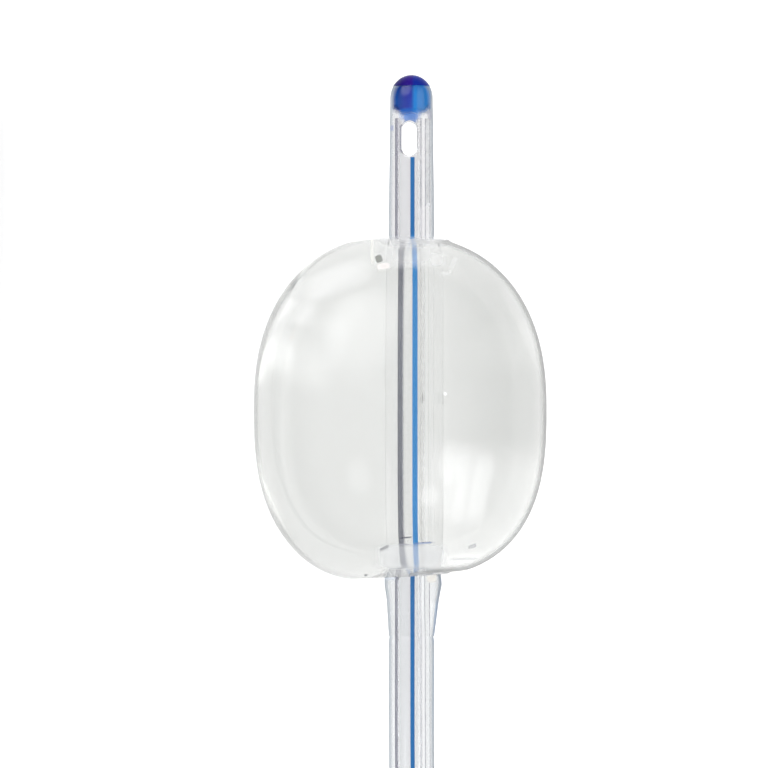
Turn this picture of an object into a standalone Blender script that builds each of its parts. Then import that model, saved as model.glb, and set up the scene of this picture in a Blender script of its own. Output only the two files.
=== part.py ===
# Foley urinary catheter, 16 French, two-way, with its 30 ml balloon filled, lying at rest on a flat surface.
# Metres, +Z up. The straight end with the balloon points to +Y. The rest of the tube turns back in a loose
# U at the -Y end and lies along the -X side, where the funnel and the inflation valve point to +Y again.
import math

import bmesh
import bpy
import numpy as np

# Shaft: one silicone extrusion with a wide drainage lumen and a fine inflation lumen
shaft_radius = 0.002665
drain_radius = 0.0012
drain_offset = -0.00025
inflation_radius = 0.00026
inflation_offset = 0.00146
stripe_width = 0.0005
stripe_depth = 0.0003
stripe_sink = 0.00004
bond_gap = 0.00005
overshoot = 0.001

# Tip: a rounded plug bonded into the bored end of the shaft
tip_length = 0.0029
shaft_start = 0.0014
plug_radius = 0.00158
plug_end = 0.0053
plug_edge = 0.0009
lumen_start = 0.0051

# Drainage eye, through both walls, and the port under the balloon. Places are distances from the tip.
eye_start = 0.00565
eye_length = 0.0044
eye_width = 0.00185
eye_offset = -0.00025
port_at = 0.0398
port_length = 0.0012
port_width = 0.0005
distal_seal_end = 0.0161

# Balloon: a silicone sleeve, bonded at two cuffs, that folds out over both when it is full
balloon_radius = 0.0180
balloon_centre = 0.0409
balloon_reach_up = 0.0212
balloon_reach_down = 0.0209
belly_shape_up = 2.30
belly_shape_down = 2.55
belly_offset = -0.0014
belly_tilt = 0.107
lean_start_radius = 0.00375
lean_full_radius = 0.00675
lean_power = 6
balloon_wall = 0.00045
upper_rim_radius = 0.0050
lower_rim_radius = 0.0062
upper_cuff_start = 0.0203
upper_cuff_end = 0.0237
upper_cuff_wall = 0.00035
lower_cuff_start = 0.0572
lower_cuff_end = 0.0645
lower_cuff_wall = 0.00060
cuff_taper_end = 0.0689
cuff_hold = 0.0005
cuff_shoulder = 0.0008
taper_wall_middle = 0.00033
taper_wall_end = 0.00007
upper_lip = 0.0003
lower_lip = 0.0002
water_gap = 0.0001
water_lip = 0.0005

# The folds at both cuffs. Each row is a share of the way out from the cuff to the rim, and of the way
# along it from the cuff's inner end to the belly's.
upper_fold = [(0.08, 0.08), (0.18, 0.32), (0.22, 0.60), (0.31, 0.84), (0.52, 0.95)]
lower_fold = [(0.05, 0.07), (0.17, 0.44), (0.23, 0.74), (0.36, 0.89), (0.59, 0.93)]

# Funnel: drainage funnel and inflation arm, moulded on the shaft's end
funnel_length = 0.065
shaft_in_funnel = 0.024
funnel_nose_radius = 0.0036
funnel_neck_radius = 0.0046
funnel_neck_at = 0.010
funnel_sleeve_radius = 0.0051
funnel_body_radius = 0.0063
funnel_rim_radius = 0.0070
funnel_rim_length = 0.0045
funnel_chamfer = 0.0005
throat_radius = 0.0019
throat_straight = 0.0018
bore_start_radius = 0.0030
bore_mouth_radius = 0.00475
throat_length = 0.006
grip_ridges = 4
grip_pitch = 0.0032
grip_height = 0.00045
grip_shares = (0.25, 0.40, 0.65, 0.80)
arm_radius = 0.0041
arm_channel_radius = 0.0009
arm_offset = 0.0145
arm_start = 0.010
arm_slant_end = 0.034
arm_end = 0.050
arm_sweep = 1.35
channel_start_share = 0.1
channel_end_share = 0.6
web_thickness = 0.0024
web_end = 0.037
inlet_at = 0.0130
inlet_length = 0.0030
inlet_width = 0.0005

# The web's edges: share of the arm's offset, and how far the edge is hollowed or how far along it is
web_hollow = [(0.30, 0.0), (0.45, 0.0022), (0.62, 0.0026), (0.80, 0.0016), (1.0, 0.0)]
web_foot = [(0.0, 0.010), (0.45, 0.019), (0.9, 0.029)]

# Inflation valve in the arm's end. Places are distances from the arm's end face.
valve_barrel_radius = 0.0031
valve_barrel_length = 0.007
valve_collar_radius = 0.0046
valve_collar_length = 0.0016
valve_chamber_radius = 0.0023
valve_ledge = 0.0010
valve_chamfer = 0.0003
pocket_clearance = 0.0002
ledge_hole_radius = 0.0011
luer_length = 0.0094
luer_radius = 0.0033
luer_collar_length = 0.0018
luer_mouth_radius = 0.002135
luer_taper = 0.03
seat_radius = 0.0016
seat_thickness = 0.0012
lug_radius = 0.0039
lug_length = 0.0012
lug_width = 0.0030
lug_slope = 0.0005
lug_overlap = 0.0002
stem_radius = 0.0012
stem_recess = 0.0016
stem_chamfer = 0.0002
stem_flange_radius = 0.0019
stem_flange = 0.0006
stem_tail_radius = 0.0007
stem_tail_length = 0.0054
seal_thickness = 0.0006
valve_gap = 0.0001
spring_wire_radius = 0.00016
spring_radius = 0.0014
spring_turns = 5

# Layout: where the straight end lies, and the route of the tube from the tip to the funnel.
# Each row is x and y from the tip, and the share of the rise from the surface to the balloon's axis,
# or to the funnel's axis on the way back.
tip_x = 0.0320
tip_y = 0.0893
route_out = [
    (0.0000, 0.0000, 1.000),
    (0.0000, -0.0300, 1.000),
    (0.0000, -0.0600, 1.000),
    (0.0000, -0.0660, 1.000),
    (0.0000, -0.0700, 1.000),
    (0.0000, -0.0790, 0.972),
    (0.0002, -0.0930, 0.840),
    (0.0010, -0.1070, 0.610),
    (0.0020, -0.1210, 0.345),
    (0.0022, -0.1350, 0.125),
    (0.0002, -0.1490, 0.015),
    (-0.0052, -0.1632, 0.000),
    (-0.0148, -0.1743, 0.000),
    (-0.0278, -0.1797, 0.000),
]
route_back = [
    (-0.0418, -0.1783, 0.000),
    (-0.0535, -0.1704, 0.000),
    (-0.0610, -0.1582, 0.000),
    (-0.0642, -0.1430, 0.000),
    (-0.0646, -0.1280, 0.030),
    (-0.0636, -0.1130, 0.170),
    (-0.0624, -0.0980, 0.450),
    (-0.0617, -0.0840, 0.790),
    (-0.0615, -0.0710, 0.985),
    (-0.0615, -0.0620, 1.000),
    (-0.0615, -0.0580, 1.000),
    (-0.0615, -0.0540, 1.000),
    (-0.0615, -0.0380, 1.000),
]
funnel_start = 0.0620
straight_start = 0.0140
straight_end = 0.0700
straight_stations = 8
station_spacing = 0.0062
station_clearance = 0.001
lumen_overrun = 0.2

object_name = "foley_urinary_catheter"
around = 16
around_fine = 12
around_funnel = 24
around_balloon = 28
around_small = 6
belly_rows = 10
dome_steps = 6
slot_steps = 6
arm_steps = 8
coil_steps = 10


def clear_scene():
    for old in list(bpy.data.objects):
        bpy.data.objects.remove(old, do_unlink=True)


def make_collection(name):
    collection = bpy.data.collections.new(name)
    bpy.context.scene.collection.children.link(collection)
    return collection


def make_material(name, color, roughness, metallic=0.0, transmission=0.0, ior=1.41):
    material = bpy.data.materials.new(name)
    material.use_nodes = True
    material.diffuse_color = color
    shader = material.node_tree.nodes["Principled BSDF"]
    shader.inputs["Base Color"].default_value = color
    shader.inputs["Roughness"].default_value = roughness
    shader.inputs["Metallic"].default_value = metallic
    shader.inputs["Transmission Weight"].default_value = transmission
    shader.inputs["IOR"].default_value = ior
    return material


def place(obj, collection, material=None):
    collection.objects.link(obj)
    if material:
        obj.data.materials.clear()
        obj.data.materials.append(material)
    return obj


def as_cutter(obj):
    obj.hide_render = True
    obj.display_type = "WIRE"
    return obj


def cut(target, cutter):
    boolean = target.modifiers.new("cut_" + cutter.name, "BOOLEAN")
    boolean.operation = "DIFFERENCE"
    boolean.solver = "EXACT"
    boolean.object = cutter


def add_to(target, other):
    boolean = target.modifiers.new("join_" + other.name, "BOOLEAN")
    boolean.operation = "UNION"
    boolean.solver = "EXACT"
    boolean.object = other


def smooth_curve(points, count=1600):
    """A natural cubic spline through the points, read at even steps of its own length."""
    p = np.array(points)
    t = np.concatenate([[0.0], np.cumsum(np.linalg.norm(np.diff(p, axis=0), axis=1))])
    h = np.diff(t)
    system = np.eye(len(p))
    right = np.zeros((len(p), 3))
    for i in range(1, len(p) - 1):
        system[i, i - 1 : i + 2] = h[i - 1], 2 * (h[i - 1] + h[i]), h[i]
        right[i] = 6 * ((p[i + 1] - p[i]) / h[i] - (p[i] - p[i - 1]) / h[i - 1])
    bend = np.linalg.solve(system, right)
    read = np.linspace(0.0, t[-1], count)
    span = np.clip(np.searchsorted(t, read, side="right") - 1, 0, len(h) - 1)
    a = ((t[span + 1] - read) / h[span])[:, None]
    b = 1 - a
    hh = (h[span] ** 2 / 6)[:, None]
    return a * p[span] + b * p[span + 1] + hh * ((a**3 - a) * bend[span] + (b**3 - b) * bend[span + 1])


def along(line, distances):
    """Points of the line at these distances from its start."""
    run = np.concatenate([[0.0], np.cumsum(np.linalg.norm(np.diff(line, axis=0), axis=1))])
    return np.stack([np.interp(distances, run, line[:, k]) for k in range(line.shape[1])], axis=1)


def circle_outline(radius, centre_x, count):
    turn = [2 * math.pi * (i + 0.5) / count for i in range(count)]
    return [(centre_x + radius * math.cos(a), radius * math.sin(a)) for a in turn]


def box_outline(low_x, high_x, low_y, high_y):
    return [(low_x, low_y), (high_x, low_y), (high_x, high_y), (low_x, high_y)]


def sweep(name, points, outline, scales=None):
    """A closed solid with this outline, x to the side and y up, along the points."""
    section = bpy.data.curves.new(name + "_section", "CURVE")
    section.dimensions = "2D"
    spline = section.splines.new("POLY")
    spline.points.add(len(outline) - 1)
    for point, (x, y) in zip(spline.points, outline):
        point.co = (x, y, 0.0, 1.0)
    spline.use_cyclic_u = True
    section_object = bpy.data.objects.new(name + "_section", section)
    bpy.context.scene.collection.objects.link(section_object)
    path = bpy.data.curves.new(name + "_path", "CURVE")
    path.dimensions = "3D"
    path.twist_mode = "Z_UP"
    line = path.splines.new("POLY")
    line.points.add(len(points) - 1)
    for i, (point, co) in enumerate(zip(line.points, points)):
        point.co = (*co, 1.0)
        point.radius = 1.0 if scales is None else scales[i]
    path.bevel_mode = "OBJECT"
    path.bevel_object = section_object
    path.use_fill_caps = True
    solid = fixed_mesh(bpy.data.objects.new(name, path))
    bpy.data.objects.remove(section_object, do_unlink=True)
    return solid


def tube(name, points, radius, resolution=2):
    """A round rod or wire along the points."""
    path = bpy.data.curves.new(name, "CURVE")
    path.dimensions = "3D"
    line = path.splines.new("POLY")
    line.points.add(len(points) - 1)
    for point, co in zip(line.points, points):
        point.co = (*co, 1.0)
    path.bevel_depth = radius
    path.bevel_resolution = resolution
    path.use_fill_caps = True
    return fixed_mesh(bpy.data.objects.new(name, path))


def finish_mesh(mesh):
    work = bmesh.new()
    work.from_mesh(mesh)
    bmesh.ops.remove_doubles(work, verts=work.verts, dist=1e-6)
    bmesh.ops.recalc_face_normals(work, faces=work.faces)
    work.to_mesh(mesh)
    work.free()
    mesh.shade_smooth()
    mesh.set_sharp_from_angle(angle=math.radians(35))


def turned(name, profile, steps, closed=False):
    """A solid of revolution about local Z. The profile is (radius, distance) and runs down its outer side."""
    mesh = bpy.data.meshes.new(name)
    corners = [(r, 0.0, z) for r, z in profile]
    edges = [(i, i + 1) for i in range(len(corners) - 1)]
    if closed:
        edges.append((len(corners) - 1, 0))
    mesh.from_pydata(corners, edges, [])
    obj = bpy.data.objects.new(name, mesh)
    screw = obj.modifiers.new("turn", "SCREW")
    screw.axis = "Z"
    screw.steps = steps
    screw.render_steps = steps
    screw.use_merge_vertices = True
    screw.merge_threshold = 1e-6
    screw.use_smooth_shade = True
    return obj


def fixed_mesh(obj):
    """The object with its modifiers, or a curve's bevel, worked into its mesh."""
    bpy.context.scene.collection.objects.link(obj)
    bpy.context.view_layer.update()
    mesh = bpy.data.meshes.new_from_object(obj.evaluated_get(bpy.context.evaluated_depsgraph_get()))
    name = obj.name
    bpy.data.objects.remove(obj, do_unlink=True)
    finish_mesh(mesh)
    return bpy.data.objects.new(name, mesh)


def from_tip(obj):
    """Turns local Z to -Y, so that a turned profile's distance counts from the tip."""
    obj.location = (tip_x, tip_y, balloon_radius)
    obj.rotation_euler = (math.pi / 2, 0.0, 0.0)
    return obj


def along_funnel(obj, side=0.0, distance=0.0):
    """Turns local Z to +Y, on the funnel's axis or at the arm's side."""
    obj.location = (funnel_x() - side, funnel_y() + distance, funnel_rim_radius)
    obj.rotation_euler = (-math.pi / 2, 0.0, 0.0)
    return obj


def funnel_x():
    return tip_x + route_back[-1][0]


def funnel_y():
    return tip_y - funnel_start


def route():
    out = [
        (tip_x + x, tip_y + y, shaft_radius + up * (balloon_radius - shaft_radius))
        for x, y, up in route_out
    ]
    back = [
        (tip_x + x, tip_y + y, shaft_radius + up * (funnel_rim_radius - shaft_radius))
        for x, y, up in route_back
    ]
    return out + back


def dome_radius(distance):
    """The outer radius of the rounded tip at a distance from its end."""
    share = min(distance / tip_length, 1.0)
    return shaft_radius * math.sqrt(1 - (1 - share) ** 2)


def shaft_stations(first, last):
    """Distances from the tip along the route: close together at the tip and in the bends."""
    start = list(np.linspace(shaft_start, tip_length, 4)) + [plug_end + plug_edge]
    straight = list(np.linspace(straight_start, straight_end, straight_stations))
    count = int((last - straight_end) / station_spacing)
    bends = list(np.linspace(straight_end, last, count + 1))[1:]
    return [d for d in start + straight + bends if first < d < last - station_clearance]


def make_shaft(collection, cutters, material, line, length):
    inner = shaft_stations(shaft_start, length)
    stations = [shaft_start] + inner + [length]
    points = along(line, stations)
    scales = [dome_radius(d) / shaft_radius for d in stations]
    outline = circle_outline(shaft_radius, 0.0, around)
    shaft = place(sweep("shaft", points, outline, scales), collection, material)
    ends = [lumen_start] + [d for d in inner if d > lumen_start + station_clearance] + [length]
    long_points = along(line, ends)
    long_points[-1] += (long_points[-1] - long_points[-2]) * lumen_overrun
    for name, radius, offset, count in [
        ("drain_lumen", drain_radius, drain_offset, around_fine),
        ("inflation_lumen", inflation_radius, inflation_offset, around_small),
    ]:
        lumen = sweep(name, long_points, circle_outline(radius, -offset, count))
        cut(shaft, as_cutter(place(lumen, cutters)))
    bore = turned(
        "plug_bore",
        [(0.0, plug_end + bond_gap), (plug_radius + bond_gap, plug_end + bond_gap),
         (plug_radius + bond_gap, 0.0), (0.0, 0.0)],
        around_fine * 2,
    )
    cut(shaft, as_cutter(from_tip(place(bore, cutters))))
    return shaft


def make_slot(name, cutters, width, length, depth):
    """A cutter with round ends: width in X, length in Y, depth in Z."""
    half = length / 2 - width / 2
    outline = []
    for centre, start in [(half, 0.0), (-half, math.pi)]:
        for i in range(slot_steps + 1):
            angle = start + math.pi * i / slot_steps
            outline.append((width / 2 * math.cos(angle), centre + width / 2 * math.sin(angle)))
    curve = bpy.data.curves.new(name, "CURVE")
    curve.dimensions = "2D"
    curve.fill_mode = "BOTH"
    curve.extrude = depth / 2
    spline = curve.splines.new("POLY")
    spline.points.add(len(outline) - 1)
    for point, (x, y) in zip(spline.points, outline):
        point.co = (x, y, 0.0, 1.0)
    spline.use_cyclic_u = True
    return as_cutter(place(fixed_mesh(bpy.data.objects.new(name, curve)), cutters))


def make_tip(collection, material):
    edge = shaft_start - bond_gap
    dome = []
    for i in range(dome_steps + 1):
        distance = edge * (1 - math.cos(math.pi / 2 * i / dome_steps))
        dome.append((dome_radius(distance), distance))
    corner = plug_end - plug_edge
    stem = [
        (plug_radius - plug_edge * (1 - math.cos(a)), corner + plug_edge * math.sin(a))
        for a in (0.0, math.pi / 4, math.pi / 2)
    ]
    neck = [(plug_radius, edge)] if dome[-1][0] > plug_radius else []
    profile = dome + neck + stem + [(0.0, plug_end)]
    return from_tip(place(turned("tip_plug", profile[::-1], around_fine * 2), collection, material))


def make_stripe(collection, cutters, material, shaft, line, length):
    """The coloured line that is extruded in the top of the wall, and its groove in the shaft."""
    start = eye_start + eye_length + 3 * bond_gap
    inner = [d for d in shaft_stations(shaft_start, length) if d > start + station_clearance]
    top = shaft_radius - stripe_sink
    half = stripe_width / 2
    wide = half + bond_gap
    groove = sweep(
        "stripe_groove",
        along(line, [start - bond_gap] + inner + [length]),
        box_outline(-wide, wide, top - stripe_depth - bond_gap, shaft_radius + overshoot),
    )
    cut(shaft, as_cutter(place(groove, cutters)))
    points = along(line, [start] + inner + [length - bond_gap])
    stripe = sweep("radiopaque_stripe", points, box_outline(-half, half, top - stripe_depth, top))
    return place(stripe, collection, material)


def make_seal(name, collection, material, line, first, last):
    """Adhesive that fills the inflation lumen over a stretch."""
    count = max(2, int((last - first) / station_spacing) + 1)
    points = along(line, np.linspace(first, last, count))
    outline = circle_outline(inflation_radius - bond_gap, -inflation_offset, around_small)
    return place(sweep(name, points, outline), collection, material)


def belly_curve(reach, shape, rim_radius):
    """The belly from its rim to its widest point, evenly spaced, on a rounded barrel's curve."""
    curve = []
    for i in range(201):
        angle = math.pi / 2 * (1 - i / 200)
        r = balloon_radius * math.cos(angle) ** (2 / shape)
        z = balloon_centre + reach * math.sin(angle) ** (2 / shape)
        if r > rim_radius:
            curve.append((r, z))
    curve = np.array(curve)
    run = np.linalg.norm(np.diff(curve, axis=0), axis=1).sum()
    return [tuple(p) for p in along(curve, np.linspace(0.0, run, belly_rows))]


def fold(rows, cuff, rim, cuff_edge, belly_end):
    return [(cuff + out * (rim - cuff), cuff_edge + way * (belly_end - cuff_edge)) for out, way in rows]


def membrane(inset=0.0):
    """Half section of the balloon's wall as (radius, distance), from the upper fold to the lower one."""
    cuff = shaft_radius + bond_gap
    upper = cuff + upper_cuff_wall
    lower = cuff + lower_cuff_wall
    top = balloon_centre - balloon_reach_up
    bottom = balloon_centre + balloon_reach_down
    path = fold(upper_fold, upper, upper_rim_radius, upper_cuff_end, top)
    path += belly_curve(-balloon_reach_up, belly_shape_up, upper_rim_radius)
    path += belly_curve(balloon_reach_down, belly_shape_down, lower_rim_radius)[::-1][1:]
    path += fold(lower_fold, lower, lower_rim_radius, lower_cuff_start, bottom)[::-1]
    moved = []
    for i, (r, z) in enumerate(path):
        a, b = path[max(i - 1, 0)], path[min(i + 1, len(path) - 1)]
        run = math.hypot(b[0] - a[0], b[1] - a[1])
        moved.append((r - inset * (b[1] - a[1]) / run, z + inset * (b[0] - a[0]) / run))
    return moved


def lean_belly(obj):
    """The full balloon hangs to one side of the shaft, and its lower rim is lower there."""
    for vertex in obj.data.vertices:
        x, y, z = vertex.co
        share = (math.hypot(x, y) - lean_start_radius) / (lean_full_radius - lean_start_radius)
        share = min(max(share, 0.0), 1.0)
        share = share * share * (3 - 2 * share)
        below = min(max((z - balloon_centre) / balloon_reach_down, 0.0), 1.0)
        vertex.co = (x + belly_offset * share, y, z - belly_tilt * x * share * below**lean_power)


def make_balloon(collection, clear, water):
    cuff = shaft_radius + bond_gap
    wall = membrane(balloon_wall)
    sleeve = [(cuff, upper_cuff_start), (cuff + upper_cuff_wall, upper_cuff_start)]
    sleeve += [(cuff + upper_cuff_wall, upper_cuff_end - cuff_hold)] + membrane()
    sleeve += [
        (cuff + lower_cuff_wall, lower_cuff_start + cuff_hold),
        (cuff + lower_cuff_wall, balloon_centre + balloon_reach_down + cuff_shoulder),
        (cuff + taper_wall_middle, lower_cuff_end),
        (cuff + taper_wall_end, cuff_taper_end),
        (cuff, cuff_taper_end),
        (cuff, lower_cuff_start - lower_lip),
    ]
    sleeve += wall[::-1] + [(cuff, upper_cuff_end + upper_lip)]
    balloon = fixed_mesh(turned("balloon", sleeve[::-1], around_balloon, closed=True))
    lean_belly(balloon)
    from_tip(place(balloon, collection, clear))
    inner = membrane(balloon_wall + water_gap)
    fill = [(cuff, upper_cuff_end + water_lip)] + inner + [(cuff, lower_cuff_start - water_lip)]
    water_fill = fixed_mesh(turned("water_fill", fill[::-1], around_balloon, closed=True))
    lean_belly(water_fill)
    from_tip(place(water_fill, collection, water))


def make_port(cutters, shaft):
    """The hole from the inflation lumen out to the space under the balloon."""
    port = make_slot("inflation_port", cutters, port_width, port_length, shaft_radius)
    port.rotation_euler = (0.0, math.pi / 2, 0.0)
    port.location = (tip_x + inflation_offset + shaft_radius / 2, tip_y - port_at, balloon_radius)
    cut(shaft, port)


def make_eye(cutters, shaft):
    eye = make_slot("drainage_eye", cutters, eye_width, eye_length, shaft_radius * 3)
    eye.location = (tip_x + eye_offset, tip_y - eye_start - eye_length / 2, balloon_radius)
    cut(shaft, eye)


def funnel_profile():
    """The outside of the drainage funnel as (radius, distance from its nose)."""
    ridge_start = funnel_length - funnel_rim_length - grip_ridges * grip_pitch
    body, cut_back = funnel_body_radius, funnel_chamfer
    profile = [(0.0, 0.0), (funnel_nose_radius - cut_back, 0.0), (funnel_nose_radius, cut_back)]
    profile += [(funnel_neck_radius, funnel_neck_at), (funnel_sleeve_radius, shaft_in_funnel)]
    profile += [(body, ridge_start)]
    for i in range(grip_ridges):
        for share, rise in zip(grip_shares, (0.0, grip_height, grip_height, 0.0)):
            profile.append((body + rise, ridge_start + grip_pitch * (i + share)))
    rim, end = funnel_length - funnel_rim_length, funnel_length
    profile += [(body, rim), (funnel_rim_radius, rim + cut_back), (funnel_rim_radius, end - cut_back)]
    profile += [(funnel_rim_radius - cut_back, end), (0.0, end)]
    return profile


def arm_line(first_share=0.0, reach=0.0):
    """The inflation arm's axis: it leaves the funnel at a slant, then runs beside it."""
    points = []
    for i in range(arm_steps + 1):
        share = i / arm_steps
        if share >= first_share:
            side = arm_offset * (arm_sweep * share - (arm_sweep - 1) * share**4)
            points.append((side, arm_start + (arm_slant_end - arm_start) * share))
    points.append((arm_offset, (arm_slant_end + arm_end) / 2))
    points.append((arm_offset, arm_end + reach))
    return [(funnel_x() - side, funnel_y() + d, funnel_rim_radius) for side, d in points]


def make_web(cutters):
    """The thin wall moulded between the funnel and the arm."""
    top = [(arm_offset * share, web_end - depth) for share, depth in web_hollow]
    foot = [(arm_offset * share, d) for share, d in web_foot]
    curve = bpy.data.curves.new("funnel_web", "CURVE")
    curve.dimensions = "2D"
    curve.fill_mode = "BOTH"
    curve.extrude = web_thickness / 2
    spline = curve.splines.new("POLY")
    corners = [(0.0, web_end)] + top + foot[::-1]
    spline.points.add(len(corners) - 1)
    for point, (side, d) in zip(spline.points, corners):
        point.co = (-side, d, 0.0, 1.0)
    spline.use_cyclic_u = True
    web = as_cutter(place(fixed_mesh(bpy.data.objects.new("funnel_web", curve)), cutters))
    web.location = (funnel_x(), funnel_y(), funnel_rim_radius)
    return web


def make_funnel(collection, cutters, material):
    funnel = place(turned("y_funnel", funnel_profile()[::-1], around_funnel), collection, material)
    along_funnel(funnel)
    add_to(funnel, make_web(cutters))
    add_to(funnel, as_cutter(place(tube("inflation_arm", arm_line(), arm_radius, 4), cutters)))
    end = shaft_in_funnel + bond_gap
    mouth = [
        (0.0, -overshoot),
        (shaft_radius + bond_gap, -overshoot),
        (shaft_radius + bond_gap, end),
        (throat_radius, end),
        (throat_radius, end + throat_straight),
        (bore_start_radius, end + throat_length),
        (bore_mouth_radius, funnel_length),
        (bore_mouth_radius, funnel_length + overshoot),
        (0.0, funnel_length + overshoot),
    ]
    bore = turned("funnel_bore", mouth[::-1], around_funnel)
    cut(funnel, along_funnel(as_cutter(place(bore, cutters))))
    channel_line = arm_line(channel_start_share, -valve_barrel_length * channel_end_share)
    channel = tube("arm_channel", channel_line, arm_channel_radius)
    cut(funnel, as_cutter(place(channel, cutters)))
    return funnel


def make_inlet(cutters, shaft):
    """The hole from the arm's channel into the inflation lumen."""
    inlet = make_slot("inflation_inlet", cutters, inlet_width, inlet_length, shaft_radius)
    inlet.rotation_euler = (0.0, math.pi / 2, 0.0)
    side = inflation_offset + shaft_radius / 2
    inlet.location = (funnel_x() - side, funnel_y() + inlet_at, funnel_rim_radius)
    cut(shaft, inlet)


def make_valve(collection, cutters, funnel, shell, white, soft, steel):
    side, end = arm_offset, arm_end
    collar = valve_collar_length
    pocket = turned(
        "valve_pocket",
        [
            (0.0, overshoot),
            (valve_barrel_radius + bond_gap, overshoot),
            (valve_barrel_radius + bond_gap, -valve_barrel_length - pocket_clearance),
            (0.0, -valve_barrel_length - pocket_clearance),
        ],
        around_funnel,
    )
    cut(funnel, along_funnel(as_cutter(place(pocket, cutters)), side, end))
    base = [
        (valve_barrel_radius, -valve_barrel_length),
        (valve_barrel_radius, bond_gap),
        (valve_collar_radius - valve_chamfer, bond_gap),
        (valve_collar_radius, bond_gap + valve_chamfer),
        (valve_collar_radius, collar),
        (valve_chamber_radius, collar),
        (valve_chamber_radius, -valve_barrel_length + valve_ledge),
        (ledge_hole_radius, -valve_barrel_length + valve_ledge),
        (ledge_hole_radius, -valve_barrel_length),
    ]
    ring = turned("valve_base", base[::-1], around_funnel, closed=True)
    along_funnel(place(ring, collection, shell), side, end)
    low = collar + bond_gap
    top = low + luer_length
    taper = luer_mouth_radius - luer_taper * (luer_length - seat_thickness)
    cap = [
        (seat_radius, low),
        (valve_collar_radius, low),
        (valve_collar_radius, low + luer_collar_length - valve_chamfer),
        (valve_collar_radius - valve_chamfer, low + luer_collar_length),
        (luer_radius, low + luer_collar_length),
        (luer_radius, top),
        (luer_mouth_radius, top),
        (taper, low + seat_thickness),
        (seat_radius, low + seat_thickness),
    ]
    luer = turned("valve_luer", cap[::-1], around_funnel, closed=True)
    along_funnel(place(luer, collection, shell), side, end)
    lug_profile = [
        (luer_radius - lug_overlap, top - lug_length - lug_slope),
        (lug_radius, top - lug_length),
        (lug_radius, top),
        (luer_radius - lug_overlap, top),
    ]
    lug = turned("luer_lug_ring", lug_profile, around_funnel, closed=True)
    trim = bpy.data.meshes.new("lug_width")
    work = bmesh.new()
    bmesh.ops.create_cube(work, size=1.0)
    work.to_mesh(trim)
    work.free()
    flat = as_cutter(place(bpy.data.objects.new("lug_width", trim), cutters))
    flat.scale = (lug_radius * 3, lug_width, lug_length * 4)
    along_funnel(flat, side, end + top)
    place(lug, cutters)
    keep = lug.modifiers.new("keep_ears", "BOOLEAN")
    keep.operation = "INTERSECT"
    keep.solver = "EXACT"
    keep.object = flat
    add_to(luer, as_cutter(along_funnel(lug, side, end)))
    seal_top = low - valve_gap
    flange_top = seal_top - seal_thickness - bond_gap
    flange_low = flange_top - stem_flange
    rod_top = top - stem_recess
    stem = [
        (0.0, rod_top),
        (stem_radius - stem_chamfer, rod_top),
        (stem_radius, rod_top - stem_chamfer),
        (stem_radius, flange_top),
        (stem_flange_radius, flange_top),
        (stem_flange_radius, flange_low),
        (stem_tail_radius, flange_low),
        (stem_tail_radius, flange_low - stem_tail_length),
        (0.0, flange_low - stem_tail_length),
    ]
    along_funnel(place(turned("valve_stem", stem, around), collection, white), side, end)
    seal = [
        (stem_flange_radius, seal_top),
        (stem_flange_radius, seal_top - seal_thickness),
        (stem_radius + bond_gap, seal_top - seal_thickness),
        (stem_radius + bond_gap, seal_top),
    ]
    washer = turned("valve_seal", seal, around, closed=True)
    along_funnel(place(washer, collection, soft), side, end)
    first = -valve_barrel_length + valve_ledge + spring_wire_radius + valve_gap
    last = flange_low - spring_wire_radius - valve_gap
    coil = []
    steps = spring_turns * coil_steps
    for i in range(steps + 1):
        angle = 2 * math.pi * spring_turns * i / steps
        x = funnel_x() - side + spring_radius * math.cos(angle)
        z = funnel_rim_radius + spring_radius * math.sin(angle)
        coil.append((x, funnel_y() + end + first + (last - first) * i / steps, z))
    place(tube("valve_spring", coil, spring_wire_radius, 1), collection, steel)


def main():
    clear_scene()
    parts = make_collection(object_name)
    cutters = make_collection("cutters")
    clear = make_material("clear_silicone", (0.86, 0.87, 0.88, 1.0), 0.18, transmission=0.9)
    blue = make_material("blue_silicone", (0.05, 0.12, 0.55, 1.0), 0.3)
    line_blue = make_material("stripe_blue", (0.10, 0.30, 0.62, 1.0), 0.4)
    water = make_material("water", (0.95, 0.97, 1.0, 1.0), 0.02, transmission=1.0, ior=1.333)
    adhesive = make_material("silicone_adhesive", (0.90, 0.91, 0.92, 1.0), 0.3, transmission=0.7)
    milky = make_material("moulded_silicone", (0.84, 0.86, 0.87, 1.0), 0.35, transmission=0.5)
    orange = make_material("valve_shell", (0.85, 0.33, 0.05, 1.0), 0.35)
    white = make_material("valve_white", (0.85, 0.85, 0.83, 1.0), 0.4)
    steel = make_material("spring_steel", (0.6, 0.6, 0.62, 1.0), 0.3, metallic=1.0)
    line = smooth_curve(route())
    run = np.linalg.norm(np.diff(line, axis=0), axis=1).sum()
    past_nose = route_back[-1][1] + funnel_start
    length = float(run) - past_nose + shaft_in_funnel
    whole = length - shaft_in_funnel + funnel_length
    print("shaft", round(length * 1000, 2), "whole", round(whole * 1000, 2))
    shaft = make_shaft(parts, cutters, clear, line, length)
    make_tip(parts, blue)
    make_stripe(parts, cutters, line_blue, shaft, line, length)
    make_eye(cutters, shaft)
    make_port(cutters, shaft)
    make_seal("distal_lumen_seal", parts, adhesive, line, plug_end + 2 * bond_gap, distal_seal_end)
    sealed_from = length - shaft_in_funnel + inlet_at + inlet_length / 2
    make_seal("proximal_lumen_seal", parts, adhesive, line, sealed_from, length - bond_gap)
    make_inlet(cutters, shaft)
    make_balloon(parts, clear, water)
    funnel = make_funnel(parts, cutters, milky)
    make_valve(parts, cutters, funnel, orange, white, clear, steel)


main()
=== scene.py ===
# Foley urinary catheter: finishes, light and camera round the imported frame
import math

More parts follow.
